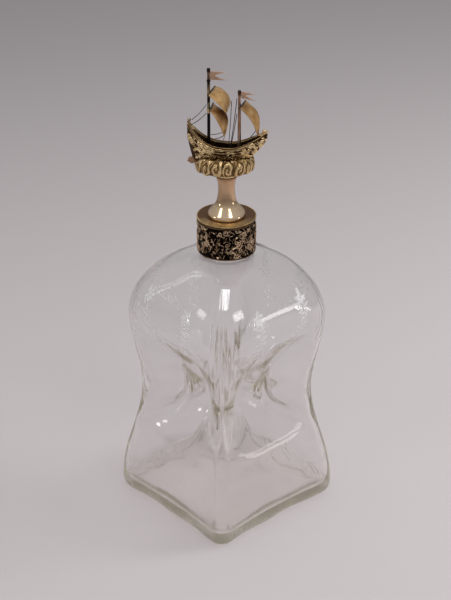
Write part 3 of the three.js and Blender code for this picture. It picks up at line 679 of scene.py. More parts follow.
collar = {
    "radius": 19.0, "sheet": 1.0, "height": 22.8, "relief": 1.15, "columns": 900, "rows": 160,
    "strands": 700, "curls": 60, "leaves": 110, "seed": 11,
    "bright": (0.60, 0.44, 0.29), "middle": (0.17, 0.10, 0.055), "dark": (0.008, 0.005, 0.004),
}
faceRows = 0.86                      # share of the rows on the outside, which carry the relief
bandTop = neckHeight - seatGap
collarFoot = bandTop - collar["height"]


def collarHeight(a, b):
    # foliage in such disorder that only short strands, small curls and leaf tips show
    g = collar
    around = 2 * math.pi * g["radius"]
    u, v = a * around, b / faceRows * g["height"]
    height = np.zeros(a.shape)
    picks = random.Random(g["seed"])

    def spots(count):
        for _ in range(count):
            x, y = picks.uniform(0, around), picks.uniform(1.0, g["height"] - 1.0)
            for shift in (-around, 0, around):
                if -5 < x + shift < around + 5:
                    yield x + shift, y

    for x, y in spots(g["strands"]):
        angle = picks.uniform(0, 2 * math.pi) + picks.uniform(-2.4, 2.4) * np.linspace(0, 1, 8)
        reach = picks.uniform(1.4, 3.4) / 8
        line = (x + np.cumsum(np.cos(angle)) * reach, y + np.cumsum(np.sin(angle)) * reach)
        stampRidge(height, u, v, line, picks.uniform(0.26, 0.42), g["relief"] * picks.uniform(0.4, 1), 0.35)
    for x, y in spots(g["curls"]):
        line = curl(x, y, picks.uniform(1.1, 1.9), 1.2, picks.uniform(0, 6.3), picks.choice((-1, 1)))
        stampRidge(height, u, v, line, 0.48, g["relief"] * picks.uniform(0.7, 1), 0.3)
    for x, y in spots(g["leaves"]):
        stampLeaf(height, u, v, (x, y), picks.uniform(1.8, 3.0), 0.7, picks.uniform(0, 6.3),
                  g["relief"] * picks.uniform(0.7, 1))
    edge = smooth(v, 0.9, 1.5) * smooth(g["height"] - v, 0.9, 1.5)
    bead = 0.55 * g["relief"] * np.maximum(np.exp(-((v - 0.5) / 0.38) ** 2),
                                           np.exp(-((g["height"] - v - 0.5) / 0.38) ** 2))
    return np.where(b < faceRows, np.maximum(height * edge, bead), 0)


def collarPlace(a, b):
    g = collar
    around = 2 * math.pi * a
    outer = g["radius"] - 0.62
    inner = g["radius"] - g["sheet"]
    back = np.clip((b - faceRows) / (1 - faceRows), 0, 1)
    radius = np.where(b < faceRows, outer, np.where(back < 0.33, lerp(outer, inner, back / 0.33),
                      np.where(back < 0.67, inner, lerp(inner, outer, (back - 0.67) / 0.33))))
    level = np.where(b < faceRows, b / faceRows,
                     np.where(back < 0.33, 1, np.where(back < 0.67, 1 - (back - 0.33) / 0.34, 0)))
    return radius * np.cos(around), radius * np.sin(around), collarFoot + g["height"] * level


collarBand = shapedGrid("relief_collar", collar["columns"], collar["rows"], collarPlace, collarHeight,
                        angle=60)
collarMetal = patinaMaterial("darkReliefSilver", collar, level=0.47, patchiness=0.3, polish=0.2, dull=0.55,
                             grain=1500.0)
finished(collarBand, "decanter", "dark_relief_silver", collarMetal, "collar_band")

plate = {"thickness": 1.1, "overhang": 0.3, "rimWidth": 0.65, "rimHeight": 0.25, "hole": 11.9}
plateFoot = neckHeight + seatGap
plateTop = plateFoot + plate["thickness"]
plateEdge = collar["radius"] + plate["overhang"]
plateFace = plateTop - plate["rimHeight"]
rimInner = plateEdge - plate["rimWidth"]
topPlate = turned("collar_plate", [
    (plate["hole"], plateFoot), (plateEdge - 0.35, plateFoot), (plateEdge - 0.1, plateFoot + 0.12),
    (plateEdge, plateFoot + 0.38),
    (plateEdge, plateTop - 0.38), (plateEdge - 0.1, plateTop - 0.12), (plateEdge - 0.35, plateTop),
    (rimInner + 0.25, plateTop),
    (rimInner + 0.05, plateTop - 0.07), (rimInner - 0.1, plateFace), (plate["hole"] + 0.2, plateFace),
    (plate["hole"], plateFace - 0.2),
], steps=160, angle=40)


def makePlateMetal():
    # gilt with painted light and shade: lit in front, darker behind, a painted shadow of the dome round its
    # foot, and a bright rim
    settings = {"Stain": (0.17, 0.08, 0.025, 1), "Stain Amount": 0.7, "Smooth": 0.22, "Worn": 0.5}
    material, tree, group = finish("goldenPlate", handledGroup, settings, 1, 0.2)
    apart = fed(tree, objectPlace(tree), "SeparateXYZ")
    radius = maths(tree, "SQRT",
                   maths(tree, "ADD", maths(tree, "MULTIPLY", apart.outputs[0], apart.outputs[0]),
                                       maths(tree, "MULTIPLY", apart.outputs[1], apart.outputs[1])), 0)
    # painted shadow of the dome on the plate round its foot
    shadow = mapped(tree, radius, 12.2 * mm, 14.6 * mm)
    rim = mapped(tree, radius, (rimInner - 0.15) * mm, (rimInner + 0.1) * mm)
    # painted light: the gilt is lit towards the camera and painted dark behind
    front = maths(tree, "ADD", maths(tree, "MULTIPLY", apart.outputs[0], 0.743),
                  maths(tree, "MULTIPLY", apart.outputs[1], -0.669))
    lit = mixColours(tree, mapped(tree, front, 0.002, 0.017), (0.15, 0.062, 0.014, 1),
                     (0.92, 0.64, 0.29, 1))
    face = mixColours(tree, shadow, (0.12, 0.055, 0.018, 1), lit)
    tree.links.new(mixColours(tree, rim, face, (0.78, 0.56, 0.26, 1)), group.inputs["Base Color"])
    return material


finished(topPlate, "decanter", "gilt_silver", makePlateMetal(), "collar_top_plate")
plaster = handledMaterial("settingPlaster", (0.72, 0.68, 0.6), (0.5, 0.46, 0.38), 0.5, least=0.8, worn=0.95,
                          metallic=0.0, bump=0.5)
dressed(plaster, "collar_cement")
print("collar", len(collarBand.data.polygons), "faces")

# cork and the rod through it

cork = {"length": 21.0, "chamfer": 0.8, "hole": 1.8}
domeFoot = plateFace + seatGap
corkFoot = domeFoot - cork["length"]
corkRadius = [float(boreAt(z)) - seatGap for z in (corkFoot, neckHeight)]
corkPiece = turned("cork_stopper", [
    (cork["hole"], corkFoot), (corkRadius[0] - cork["chamfer"], corkFoot),
    (corkRadius[0] - 0.25, corkFoot + 0.22), (corkRadius[0], corkFoot + cork["chamfer"]),
    (lerp(*corkRadius, 0.35), corkFoot + 7), (lerp(*corkRadius, 0.7), corkFoot + 14),
    (corkRadius[1], domeFoot - cork["chamfer"]),
    (corkRadius[1] - 0.25, domeFoot - 0.22), (corkRadius[1] - cork["chamfer"], domeFoot),
    (cork["hole"], domeFoot),
], steps=72)


def corkMaterial():
    material, tree, shader, output = newMaterial("naturalCork")
    place = objectPlace(tree)
    grain = fed(tree, place, "TexNoise", Scale=420.0, Detail=6.0, Roughness=0.7)
    pores = fed(tree, place, "TexVoronoi", {"feature": "F1"}, Scale=330.0)
    base = mixColours(tree, grain.outputs[0], (0.46, 0.27, 0.13, 1), (0.72, 0.5, 0.28, 1))
    pit = mapped(tree, pores.outputs["Distance"], 0.05, 0.24)
    tree.links.new(mixColours(tree, pit, (0.14, 0.07, 0.035, 1), base), shader.inputs["Base Color"])
    shader.inputs["Roughness"].default_value = 0.85
    bumped(tree, shader, pit, 0.6, 0.0003)
    return material


finished(corkPiece, "cork", "cork", corkMaterial(), "stopper_cork")
brass = handledMaterial("plainBrass", (0.62, 0.47, 0.22), (0.3, 0.2, 0.08), 0.5, (1, 1, 6), 700.0, 0.25,
                        0.5)
dressed(brass, "cork_rod", "cork_washer", "cork_nut")

# dome with its trumpet stem, and the ring over it

dome = {
    "shell": 0.8, "height": 27.3,
    # radius and level over the plate, up the bell and the stem
    "bell": [(12.2, 0), (12.25, 0.5), (12.2, 1.2), (12.0, 1.9), (11.6, 2.6), (10.95, 3.4), (10.2, 4.3),
             (9.4, 5.3), (8.5, 6.5), (7.4, 8),
             (6.55, 9.8), (6.05, 12), (5.65, 14.6), (5.4, 17.4), (5.5, 20.5), (5.9, 23.5), (6.7, 26.2),
             (6.9, 27.3)],
    # painted shade: the gilt by height, lightest on the bell, darker up the stem and darkest under the ring
    "bands": [(0, (0.86, 0.67, 0.45)), (3.5, (0.80, 0.61, 0.41)), (6.5, (0.78, 0.60, 0.39)),
              (9.5, (0.58, 0.42, 0.26)),
              (14, (0.58, 0.40, 0.25)), (25, (0.57, 0.37, 0.22)), (27.3, (0.34, 0.17, 0.08))],
    "stain": (0.34, 0.21, 0.12),
}
stemEnd = domeFoot + dome["height"]


def through(points, each):
    # a smooth line through the given points
    points = np.array(points, float)
    ends = np.vstack([2 * points[0] - points[1], points, 2 * points[-1] - points[-2]])
    line = []
    for p, q, r, s in zip(ends, ends[1:], ends[2:], ends[3:]):
        for t in np.arange(each) / each:
            line.append(0.5 * (2 * q + (r - p) * t + (2 * p - 5 * q + 4 * r - s) * t ** 2
                               + (3 * q - p - 3 * r + s) * t ** 3))
    return np.vstack(line + [points[-1]])


def domeLine(shell, each):
    line = through(dome["bell"], each)
    return [(radius - shell, domeFoot + level) for radius, level in line]


domePiece = turned("dome_and_stem", domeLine(0, 3) + domeLine(dome["shell"], 1)[::-1], steps=128, angle=60)


def bandedMaterial(name, stops, foot, top, stain, amount, lines=1200.0, stretch=(1, 1, 1), least=0.25,
                   worn=0.5, bump=0.2):
    # stops: (height over foot, colour), blended from one to the next
    material = handledMaterial(name, stops[0][1], stain, amount, stretch, lines, least, worn, bump=bump)
    tree = material.node_tree
    group = next(node for node in tree.nodes if node.type == "GROUP")
    apart = fed(tree, objectPlace(tree), "SeparateXYZ")
    share = addNode(tree, "MapRange")
    share.inputs[1].default_value, share.inputs[2].default_value = foot * mm, (foot + top) * mm
    tree.links.new(apart.outputs[2], share.inputs[0])
    ramp = addNode(tree, "ValToRGB")
    points = ramp.color_ramp.elements
    while len(points) < len(stops):
        points.new(0.5)
    for point, (level, colour) in zip(points, stops):
        point.position = level / top
        point.color = (*colour, 1)
    tree.links.new(share.outputs[0], ramp.inputs[0])
    tree.links.new(ramp.outputs[0], group.inputs["Base Color"])
    return material


champagne = bandedMaterial("champagneGilt", dome["bands"], domeFoot, dome["height"], dome["stain"], 0.4,
                           500.0, (1, 1, 14), 0.07, 0.22, 0.08)
finished(domePiece, "stopper_top", "champagne_gilt", champagne, "stopper_dome")
dressed(champagne, "dome_plate")

stemRing = {"radius": 7.0, "height": 1.5, "hole": 1.8}
ringFoot = stemEnd + seatGap
ringLine = [(stemRing["hole"], ringFoot)]
for i in range(9):
    angle = lerp(-90, 90, i / 8) * math.pi / 180
    half = stemRing["height"] / 2
    ringLine.append((stemRing["radius"] - half * (1 - math.cos(angle)),
                     ringFoot + half * (1 + math.sin(angle))))
ringLine.append((stemRing["hole"], ringFoot + stemRing["height"]))
ringPiece = turned("stem_collar_ring", ringLine, steps=96, angle=60)
brightGilt = handledMaterial("brightGilt", (0.95, 0.76, 0.42), (0.62, 0.40, 0.16), 0.4, (1, 1, 10), 600.0,
                             0.3, 0.5)
finished(ringPiece, "stopper_top", "gilt_silver", brightGilt, "stem_ring")
print("stopper stem ready")

# the ship: drawn along +x towards the bow, then turned and lifted onto the platform

seaHeight, bedDepth = 9.3, 1.7         # the flat sea over the platform's foot, and the hull's bed in it
platformFoot = ringFoot + stemRing["height"] + seatGap
bedFloor = platformFoot + seaHeight - bedDepth
ship = {"turn": 40, "foot": bedFloor + seatGap}


def aboard(obj):
    return moved(obj, (0, 0, ship["foot"]), (0, 0, ship["turn"]))


hull = {
    "sternFoot": -21.3, "sternRake": 3.6, "sternSweep": 0.62, "bowFoot": 11.0, "bowRake": 15.0,
    "bowSweep": 0.5,
    "depth": 9.7, "sternRise": 15.7, "bowRise": 10.5, "lowestAt": 3.0,
    "halfBeam": 6.3, "keelShare": 0.3, "sternHalf": 1.1, "bowHalf": 1.9, "wall": 0.9, "floor": 2.2,
    "hollowFrom": 0.07, "hollowTo": 0.90, "columns": 420, "rows": 150, "outerRows": 0.70, "topRows": 0.76,
    "strakes": (0.52, 0.70, 0.875), "strakeRise": 0.45, "bandLevel": 2.9, "bandLeaves": 26,
    "prowScrolls": 60, "sternScrolls": 42, "scrollRise": 0.7, "seed": 8,
    "bright": (0.86, 0.66, 0.37), "middle": (0.30, 0.18, 0.075), "dark": (0.045, 0.023, 0.011),
}


def sternX(h):
    return hull["sternFoot"] - hull["sternRake"] * np.sin(hull["sternSweep"] * math.pi * h)


def bowX(h):
    return hull["bowFoot"] + hull["bowRake"] * np.sin(hull["bowSweep"] * math.pi * h)


def sheerAt(x):
    g = hull
    aft = np.maximum(0, (g["lowestAt"] - x) / (g["lowestAt"] - sternX(1)))
    fore = np.maximum(0, (x - g["lowestAt"]) / (bowX(1) - g["lowestAt"]))
    return g["depth"] + g["sternRise"] * aft ** 3 + g["bowRise"] * fore ** 1.5


def halfBeamAt(s, h):
    g = hull
    plan = (1 - np.abs(2 * s - 1) ** 2.5) ** 0.85
    section = g["keelShare"] + (1 - g["keelShare"]) * np.sin(math.pi / 2 * np.minimum(1, h) ** 0.6)
    end = lerp(g["sternHalf"], g["bowHalf"], s) * lerp(0.6, 1, np.minimum(1, h))
    return end + (g["halfBeam"] - end) * plan * section


# wave platform

waves = {
    "radius": 17.6, "count": 15, "footRadius": 6.6, "shift": -1.5, "hole": 1.8, "socket": 3.8,
    "relief": 1.5, "columnsEach": 52, "rows": 120, "lowEnds": 2.4,
    "bright": (0.80, 0.61, 0.34), "middle": (0.48, 0.31, 0.13), "dark": (0.09, 0.05, 0.02),
}
sidePart = 0.74                      # share of the rows that run up the side and over the crest
# how far out and how high the smooth rim runs under the waves, from the foot to the sea inside it
rimLine = [(0.375, 0.0), (0.55, 1.0), (0.74, 2.2), (0.88, 3.4), (0.97, 4.7), (1.01, 6.2), (1.02, 7.8),
           (1.01, 9.4), (0.97, 11.2),
           (0.89, 12.5), (0.79, 12.5), (0.71, 11.0), (0.655, 9.3)]
rimLength = 26.5                     # of that line, about, in mm


def underHull(x, y, margin):
    # how high over the bed a place under or beside the hull is free of it
    turn = math.radians(ship["turn"])
    along, across = x * math.cos(turn) + y * math.sin(turn), np.abs(y * math.cos(turn) - x * math.sin(turn))
    free = np.full(np.shape(x), 30.0)
    for level in np.linspace(9, 0, 37):
        h = level / hull["depth"]
        for _ in range(2):
            s = (along - sternX(h)) / (bowX(h) - sternX(h))
            h = level / sheerAt(lerp(sternX(1), bowX(1), np.clip(s, 0, 1)))
        ends = margin / 40
        inside = (s > -ends) & (s < 1 + ends) & (across < halfBeamAt(np.clip(s, 0.02, 0.98), h) + margin)
        free = np.where(inside, level, free)
    return free


def waveHeights(a, b):
    # every wave is a tall leaning swelling with a spiral on it, and leaves curl out of the gaps;
    # gives the heights, and how far the carving brightens the metal
    g = waves
    pitch = 2 * math.pi * g["radius"] / g["count"]
    v = b / sidePart * rimLength
    turn = a * g["count"]
    u = (turn - np.floor(turn)) * pitch
    height, carved = np.zeros(a.shape), np.zeros(a.shape)
    for shift in (-pitch, 0, pitch):
        each = np.mod(np.floor(turn) + round(shift / pitch), g["count"])
        lean = 0.14 + 0.12 * np.sin(5.1 * each)
        start = 1.6 * np.sin(3.7 * each)
        size = 1 + 0.10 * np.sin(2.3 * each)
        across = u - shift - pitch * 0.5 - lean * (v - 15) + 0.25 * np.sin(0.9 * v + each)
        across = across / (0.54 * pitch * size)
        up = (v - 15.4 - 0.7 * np.sin(4.3 * each)) / (7.2 * size)
        far = np.hypot(across, up)
        body = np.sqrt(np.maximum(0, 1 - far ** 2))
        bent = np.maximum(0, far + 0.05 * np.sin(6 * np.arctan2(up, across) + 4 * each))
        spiral = 0.5 + 0.5 * np.cos(2 * math.pi * 1.6 * bent ** 0.8 - np.arctan2(up, across) - 0.6 - start)
        spiral = spiral * (0.72 + 0.28 * np.sin(1.9 * u + 2.7 * v + 5 * each) * np.sin(3.1 * u - 1.7 * v))
        height = np.maximum(height, body ** 0.6 * (0.55 + 0.45 * spiral))
        carved = np.maximum(carved, spiral * smooth(1 - far, 0.0, 0.22))
    leaves = np.zeros(a.shape)
    for shift in (-pitch, 0, pitch):
        for offset, level, angle, size in ((0.1, 19.5, 1.9, 0.8), (1.7, 20.5, 1.4, 0.7),
                                           (-0.6, 11.0, -1.9, 0.6), (0.9, 10.4, -1.3, 0.6)):
            stampLeaf(leaves, u, v, (shift + offset, level), 3.2, 1.0, angle, size)
    carved = np.maximum(carved, leaves)
    height = g["relief"] * np.maximum(height, 0.8 * leaves)
    fade = smooth(v, 4.0, 7.0) * smooth(25.0 - v, 0, 4.0)
    x, y, z = wavePlace(a, b)
    free = np.where(b > 0.3, smooth(underHull(x, y, 2.8) - (z - bedFloor), -0.5, 2.0), 1)
    ripple = 0.16 * np.sin(a * 2 * math.pi * 26 + b * 40)
    ripple = ripple * smooth(b, sidePart, sidePart + 0.05) * smooth(1 - b, 0.1, 0.2)
    return np.where(b <= sidePart, height * fade, ripple) * free, carved


def wavePlace(a, b):
    g = waves
    around = 2 * math.pi * a
    shares, levels = zip(*rimLine)
    steps = np.concatenate([[0], np.cumsum(np.hypot(np.diff(shares) * g["radius"], np.diff(levels)))])
    t = np.clip(b / sidePart, 0, 1) * steps[-1]
    radius = g["radius"] * np.interp(t, steps, shares)
    level = np.interp(t, steps, levels)
    top = np.clip((b - sidePart) / (0.9 - sidePart), 0, 1)
    radius = np.where(b > sidePart, lerp(g["radius"] * shares[-1], 0.02, top), radius)
    level = np.where(b > sidePart, seaHeight, level)
    x = radius * np.cos(around) + g["shift"] * smooth(radius, g["footRadius"], g["radius"] * 0.6)
    y = radius * np.sin(around)
    sideways = (x * math.cos(math.radians(48)) + y * math.sin(math.radians(48))) / g["radius"]
    level = level - g["lowEnds"] * sideways ** 2 * smooth(level, 0.5, 6) * (b < sidePart)
    room = seaHeight - bedDepth + underHull(x, y, 1.2)
    level = np.where(b > 0.3, np.minimum(level, np.maximum(room, level * 0.45)), level)
    return x, y, platformFoot + level


def makeWaves():
    g = waves
    carvings = []

    def heights(a, b):
        height, carved = waveHeights(a, b)
        carvings.append(carved)
        return height

    def tone(a, b, level):
        # painted shade: the sea inside the crests, under and round the hull, is kept nearly black
        return np.where(b <= sidePart, 0.16 + 0.75 * carvings[0], 0.04)

    obj = shapedGrid("sea_platform", g["count"] * g["columnsEach"], g["rows"], wavePlace, heights, angle=70,
                     tone=tone)
    alone()
    bpy.context.view_layer.objects.active = obj
    obj.select_set(True)
    bpy.ops.object.mode_set(mode="EDIT")
    bpy.ops.mesh.select_mode(type="VERT")
    bpy.ops.mesh.select_all(action="DESELECT")
    bpy.ops.mesh.select_non_manifold()
    bpy.ops.mesh.extrude_region_move(TRANSFORM_OT_translate={"value": (0, 0, 0)})
    ratio = g["hole"] / g["footRadius"]
    bpy.ops.transform.resize(value=(ratio, ratio, 1))
    bpy.ops.mesh.extrude_region_move(TRANSFORM_OT_translate={"value": (0, 0, g["socket"] * mm)})
    bpy.ops.mesh.edge_face_add()
    bpy.ops.mesh.select_all(action="SELECT")
    bpy.ops.mesh.normals_make_consistent(inside=False)
    bpy.ops.object.mode_set(mode="OBJECT")
    return obj


seaPlatform = makeWaves()
seaMetal = patinaMaterial("giltWaves", waves, level=0.42, patchiness=0.4, polish=0.28, dull=0.55)
finished(seaPlatform, "stopper_top", "gilt_silver", seaMetal, "wave_platform")
print("sea platform", len(seaPlatform.data.polygons), "faces")


def hullRing(a):
    # a runs starboard stern to bow, round the stem, back along the port side and round the stern
    marks = (0, 0.46, 0.515, 0.975, 1)
    s = np.interp(a, marks, (0, 1, 1, 0, 0))
    bow = np.clip((a - marks[1]) / (marks[2] - marks[1]), 0, 1)
    stern = np.clip((a - marks[3]) / (marks[4] - marks[3]), 0, 1)
    side = np.where(a < marks[1], -1.0,
                    np.where(a < marks[2], -np.cos(math.pi * bow),
                             np.where(a < marks[3], 1.0, np.cos(math.pi * stern))))
    ahead = np.where(a < marks[1], 0,
                     np.where(a < marks[2], np.sin(math.pi * bow),
                              np.where(a < marks[3], 0, -np.sin(math.pi * stern))))
    return s, side, ahead


def hullPlace(a, b):
    g = hull
    s, side, ahead = hullRing(a)
    outside = np.clip(b / g["outerRows"], 0, 1)
    crossing = np.clip((b - g["outerRows"]) / (g["topRows"] - g["outerRows"]), 0, 1)
    down = np.clip((b - g["topRows"]) / (1 - g["topRows"]), 0, 1)
    along = lerp(s, lerp(g["hollowFrom"], g["hollowTo"], s), crossing)
    top = sheerAt(lerp(sternX(1), bowX(1), along))
    h = np.where(b <= g["topRows"], outside, lerp(1, g["floor"] / top, down))
    half = halfBeamAt(along, h)
    y = np.where(crossing > 0, np.maximum(0.25, half - g["wall"] * crossing), half)
    nose = 0.6 * np.where(crossing > 0, y, half)
    x = lerp(sternX(h) + 0.6 * halfBeamAt(0, h), bowX(h) - 0.6 * halfBeamAt(1, h), along) + nose * ahead
    rounding = 0.25 * np.sin(math.pi * crossing)
    return x, y * side, h * top + rounding


def hullHeights(a, b):
    g = hull
    s = hullRing(a)[0]
    h = np.clip(b / g["outerRows"], 0, 1)
    x = lerp(sternX(1), bowX(1), s)
    z = h * sheerAt(x)
    u = lerp(sternX(h), bowX(h), s)
    planks = np.zeros(a.shape)
    for i, level in enumerate(g["strakes"]):
        broken = 0.75 + 0.25 * np.sin((1.1 + 0.17 * i) * x + 2.1 * i) * np.sin(0.37 * x + i)
        off = (h - level - 0.008 * np.sin(0.9 * x + i)) / lerp(0.022, 0.04, smooth(s, 0.1, 0.5))
        planks = np.maximum(planks, broken * np.exp(-off ** 2))
    planks = g["strakeRise"] * planks * (1 - smooth(s, 0.72, 0.80))
    carved = np.zeros(a.shape)
    picks = random.Random(g["seed"])
    for i in range(g["bandLeaves"]):
        spot = (lerp(-19.5, 11.0, i / (g["bandLeaves"] - 1)), g["bandLevel"] + picks.uniform(-0.3, 0.4))
        stampLeaf(carved, u, z, spot, 2.2, 0.85, picks.choice((0.8, -0.6, 0.3)) + math.pi * (i % 2), 0.5)
        stampRidge(carved, u, z, (np.array([spot[0]]), np.array([spot[1] + 1.6])), 0.5, 0.42)
        stampLeaf(carved, u, z, (spot[0], spot[1] - 0.8), 1.8, 0.7, picks.uniform(0, 6.3), 0.42)
    stampRidge(carved, u, z, curl(2.2, 6.6, 1.3, 1.2, 0.5, 1), 0.5, 0.55, 0.3)
    stampRidge(carved, u, z, curl(5.4, 6.5, 1.2, 1.2, 2.5, -1), 0.5, 0.55, 0.3)
    for i in range(g["prowScrolls"] + g["sternScrolls"]):
        share, level = (picks.uniform(0.74, 1.0), picks.uniform(0.05, 0.97)) if i < g["prowScrolls"] else (
            picks.uniform(0.02, 0.34), picks.uniform(0.3, 0.9))
        spot = (float(lerp(sternX(level), bowX(level), share)),
                float(level * sheerAt(lerp(sternX(1), bowX(1), share))))
        size = picks.uniform(0.7, 1.2)
        stampRidge(carved, u, z, curl(*spot, size, 1.1, picks.uniform(0, 6.3), picks.choice((-1, 1))), 0.30,
                   g["scrollRise"] * picks.uniform(0.5, 1))
        stampLeaf(carved, u, z, spot, 1.9, 0.4, picks.uniform(0, 6.3), g["scrollRise"] * 0.6)
    inBand = smooth(z, 1.0, 1.8) * (1 - smooth(z, 4.8, 5.6)) * (1 - smooth(s, 0.70, 0.76))
    bead = 0.40 * np.exp(-((h - 0.965) / 0.022) ** 2) * (1 - smooth(s, 0.76, 0.84))
    height = np.maximum(np.maximum(planks * (1 - inBand), carved), bead)
    return np.where(b <= g["outerRows"], height * smooth(z, 0.2, 1.0) * (1 - smooth(h, 0.985, 1.0)), 0)


def hullPatinaAndShade(a, b, level):
    # painted light and shade on the inside: gilt where the stern rises into the light, dark in the waist,
    # where the bulwarks shade it
    s = hullRing(a)[0]
    inside = 0.02 + 0.5 * (1 - smooth(s, 0.04, 0.22))
    return np.where(b <= hull["outerRows"], level, np.where(b < hull["topRows"], 0.5, inside))


def makeHull():
    obj = shapedGrid("ship_hull", hull["columns"], hull["rows"], hullPlace, hullHeights, angle=55,
                     tone=hullPatinaAndShade)
    return aboard(capped(obj))


hullMetal = patinaMaterial("giltHull", hull, level=0.30, patchiness=0.6, polish=0.2, dull=0.5)
hullPiece = makeHull()
finished(hullPiece, "stopper_top", "gilt_silver", hullMetal, "hull_shell")

rail = {"from": 0.06, "to": 0.93, "outset": 0.15, "width": 0.9, "height": 0.9, "columns": 16, "rows": 90}


def makeRail(name, side):
    g = rail

    def place(a, b):
        s = lerp(g["from"], g["to"], b)
        angle = 2 * math.pi * a * side
        top = sheerAt(lerp(sternX(1), bowX(1), s))
        taper = np.sqrt(np.clip(1 - np.abs(2 * b - 1) ** 30, 0.02, 1))
        x = lerp(sternX(1), bowX(1), s)
        y = side * (halfBeamAt(s, 1) + g["outset"] - g["width"] / 2 + g["width"] / 2 * np.cos(angle)
                    * taper)
        return x, y, top + seatGap + g["height"] / 2 * (1 + np.sin(angle) * taper)

    obj = shapedGrid(name, g["columns"], g["rows"], place, angle=60)
    return aboard(capped(obj))


railMetal = handledMaterial("giltRail", (0.42, 0.28, 0.13), (0.06, 0.035, 0.018), 0.85, (1, 1, 1), 900.0,
                            0.16, 0.42)
finished(makeRail("rail_port", 1), "stopper_top", "gilt_silver", railMetal, "port_rail")
finished(makeRail("rail_starboard", -1), "stopper_top", "gilt_silver", railMetal, "starboard_rail")


def deckMaterial():
    # boards that run along the ship
    material, tree, shader, output = newMaterial("tarnishedDeck")
    turn = fed(tree, objectPlace(tree), "Mapping", Rotation=(0, 0, -math.radians(ship["turn"]))).outputs[0]
    boards = fed(tree, turn, "TexWave", {"wave_type": "BANDS", "bands_direction": "Y"}, Scale=300.0,
                 Distortion=0.4)
    stain = fed(tree, turn, "TexNoise", Scale=240.0, Detail=5.0)
    base = mixColours(tree, stain.outputs[0], (0.025, 0.015, 0.01, 1), (0.14, 0.08, 0.045, 1))
    joint = mapped(tree, boards.outputs["Fac"], 0.02, 0.2)
    tree.links.new(mixColours(tree, joint, (0.01, 0.007, 0.005, 1), base), shader.inputs["Base Color"])
    shader.inputs["Metallic"].default_value = 0.8
    tree.links.new(mapped(tree, stain.outputs[0], 0.3, 0.7, 0.4, 0.65), shader.inputs["Roughness"])
    bumped(tree, shader, joint, 0.5, 0.0001)
    return material


dressed(deckMaterial(), "hull_deck")
knobMetal = handledMaterial("greyedGilt", (0.50, 0.42, 0.30), (0.09, 0.07, 0.05), 0.8, (1, 1, 1), 700.0,
                            0.2, 0.5)
dressed(knobMetal, "stern_finial")


def closedTube(name, columns, rows, place):
    obj = shapedGrid(name, columns, rows, place, angle=60)
    return aboard(capped(obj))


prowCurl = {"centre": (23.9, 20.3), "radius": 1.7, "from": (19.8, 14.2), "turns": 1.3, "thick": (0.85, 0.4),
            "wide": (1.6, 0.7), "startAngle": -62, "climb": 0.3}


def prowPlace(a, b):
    # a band that climbs out of the bow and rolls up on itself
    g = prowCurl
    first = math.radians(g["startAngle"])
    rising = b < g["climb"]
    wound = np.clip((b - g["climb"]) / 0.7, 0, 1)
    angle = first + wound * g["turns"] * 2 * math.pi
    radius = g["radius"] * (1 - 0.78 * wound)
    x = g["centre"][0] + radius * np.cos(angle)
    z = g["centre"][1] + radius * np.sin(angle)
    start = (g["centre"][0] + g["radius"] * math.cos(first), g["centre"][1] + g["radius"] * math.sin(first))
    climb = np.clip(b / g["climb"], 0, 1)
    x = np.where(rising, lerp(g["from"][0], start[0], climb), x)
    z = np.where(rising, lerp(g["from"][1], start[1], climb ** 1.15), z)
    heading = np.where(rising, math.radians(35), angle + math.pi / 2)
    around = 2 * math.pi * a
    thick = lerp(*g["thick"], b)
    wide = lerp(*g["wide"], b) * np.sqrt(np.clip(1 - np.abs(2 * b - 1) ** 16, 0.05, 1))
    out = thick * np.cos(around)
    return x + out * np.sin(heading), wide * np.sin(around), z - out * np.cos(heading)


curlMetal = handledMaterial("giltCurl", (0.88, 0.68, 0.38), (0.30, 0.17, 0.06), 0.6, (1, 1, 1), 800.0, 0.2,
                            0.45)
finished(closedTube("prow_curl", 20, 90, prowPlace), "stopper_top", "gilt_silver", curlMetal, "prow_scroll")

rudderLobe = {"centre": (-22.0, -0.7), "reach": (2.9, 1.0, 2.4)}


def rudderPlace(a, b):
    g = rudderLobe
    around, rise = 2 * math.pi * a, math.pi * b
    swell = np.sin(rise) * (1 + 0.12 * np.cos(5 * rise))
    return (g["centre"][0] + g["reach"][0] * swell * np.cos(around), g["reach"][1] * swell * np.sin(around),
            g["centre"][1] - g["reach"][2] * np.cos(rise))


rudderMetal = handledMaterial("brownedRudder", (0.42, 0.25, 0.15), (0.13, 0.06, 0.03), 0.7, (1, 1, 1),
                              800.0, 0.25, 0.5)
finished(closedTube("rudder_lobe", 24, 30, rudderPlace), "stopper_top", "gilt_silver", rudderMetal,
         "rudder")
print("hull ready")

# masts with their collars and knobs, and the yards

masts = {
    "main": {"x": -11.2, "radius": 0.95, "top": 60.6, "collarAt": (32.7, 52.4), "knob": 1.1},
    "fore": {"x": 8.1, "radius": 1.0, "top": 47.2, "collarAt": (), "knob": 1.1},
    "swell": 1.15, "seat": 0.5, "steps": 28,
}
yards = {
    "topsail": {"mast": "main", "height": 46.1, "halfSpan": 8.7, "turn": -7},
    "course": {"mast": "main", "height": 35.4, "halfSpan": 7.7, "turn": 0},
    "fore": {"mast": "fore", "height": 38.0, "halfSpan": 7.7, "turn": -8}, "radius": 0.5,
}


def deckTopAt(x):
    return 6.5 + 0.15 * (sheerAt(x) - hull["depth"])


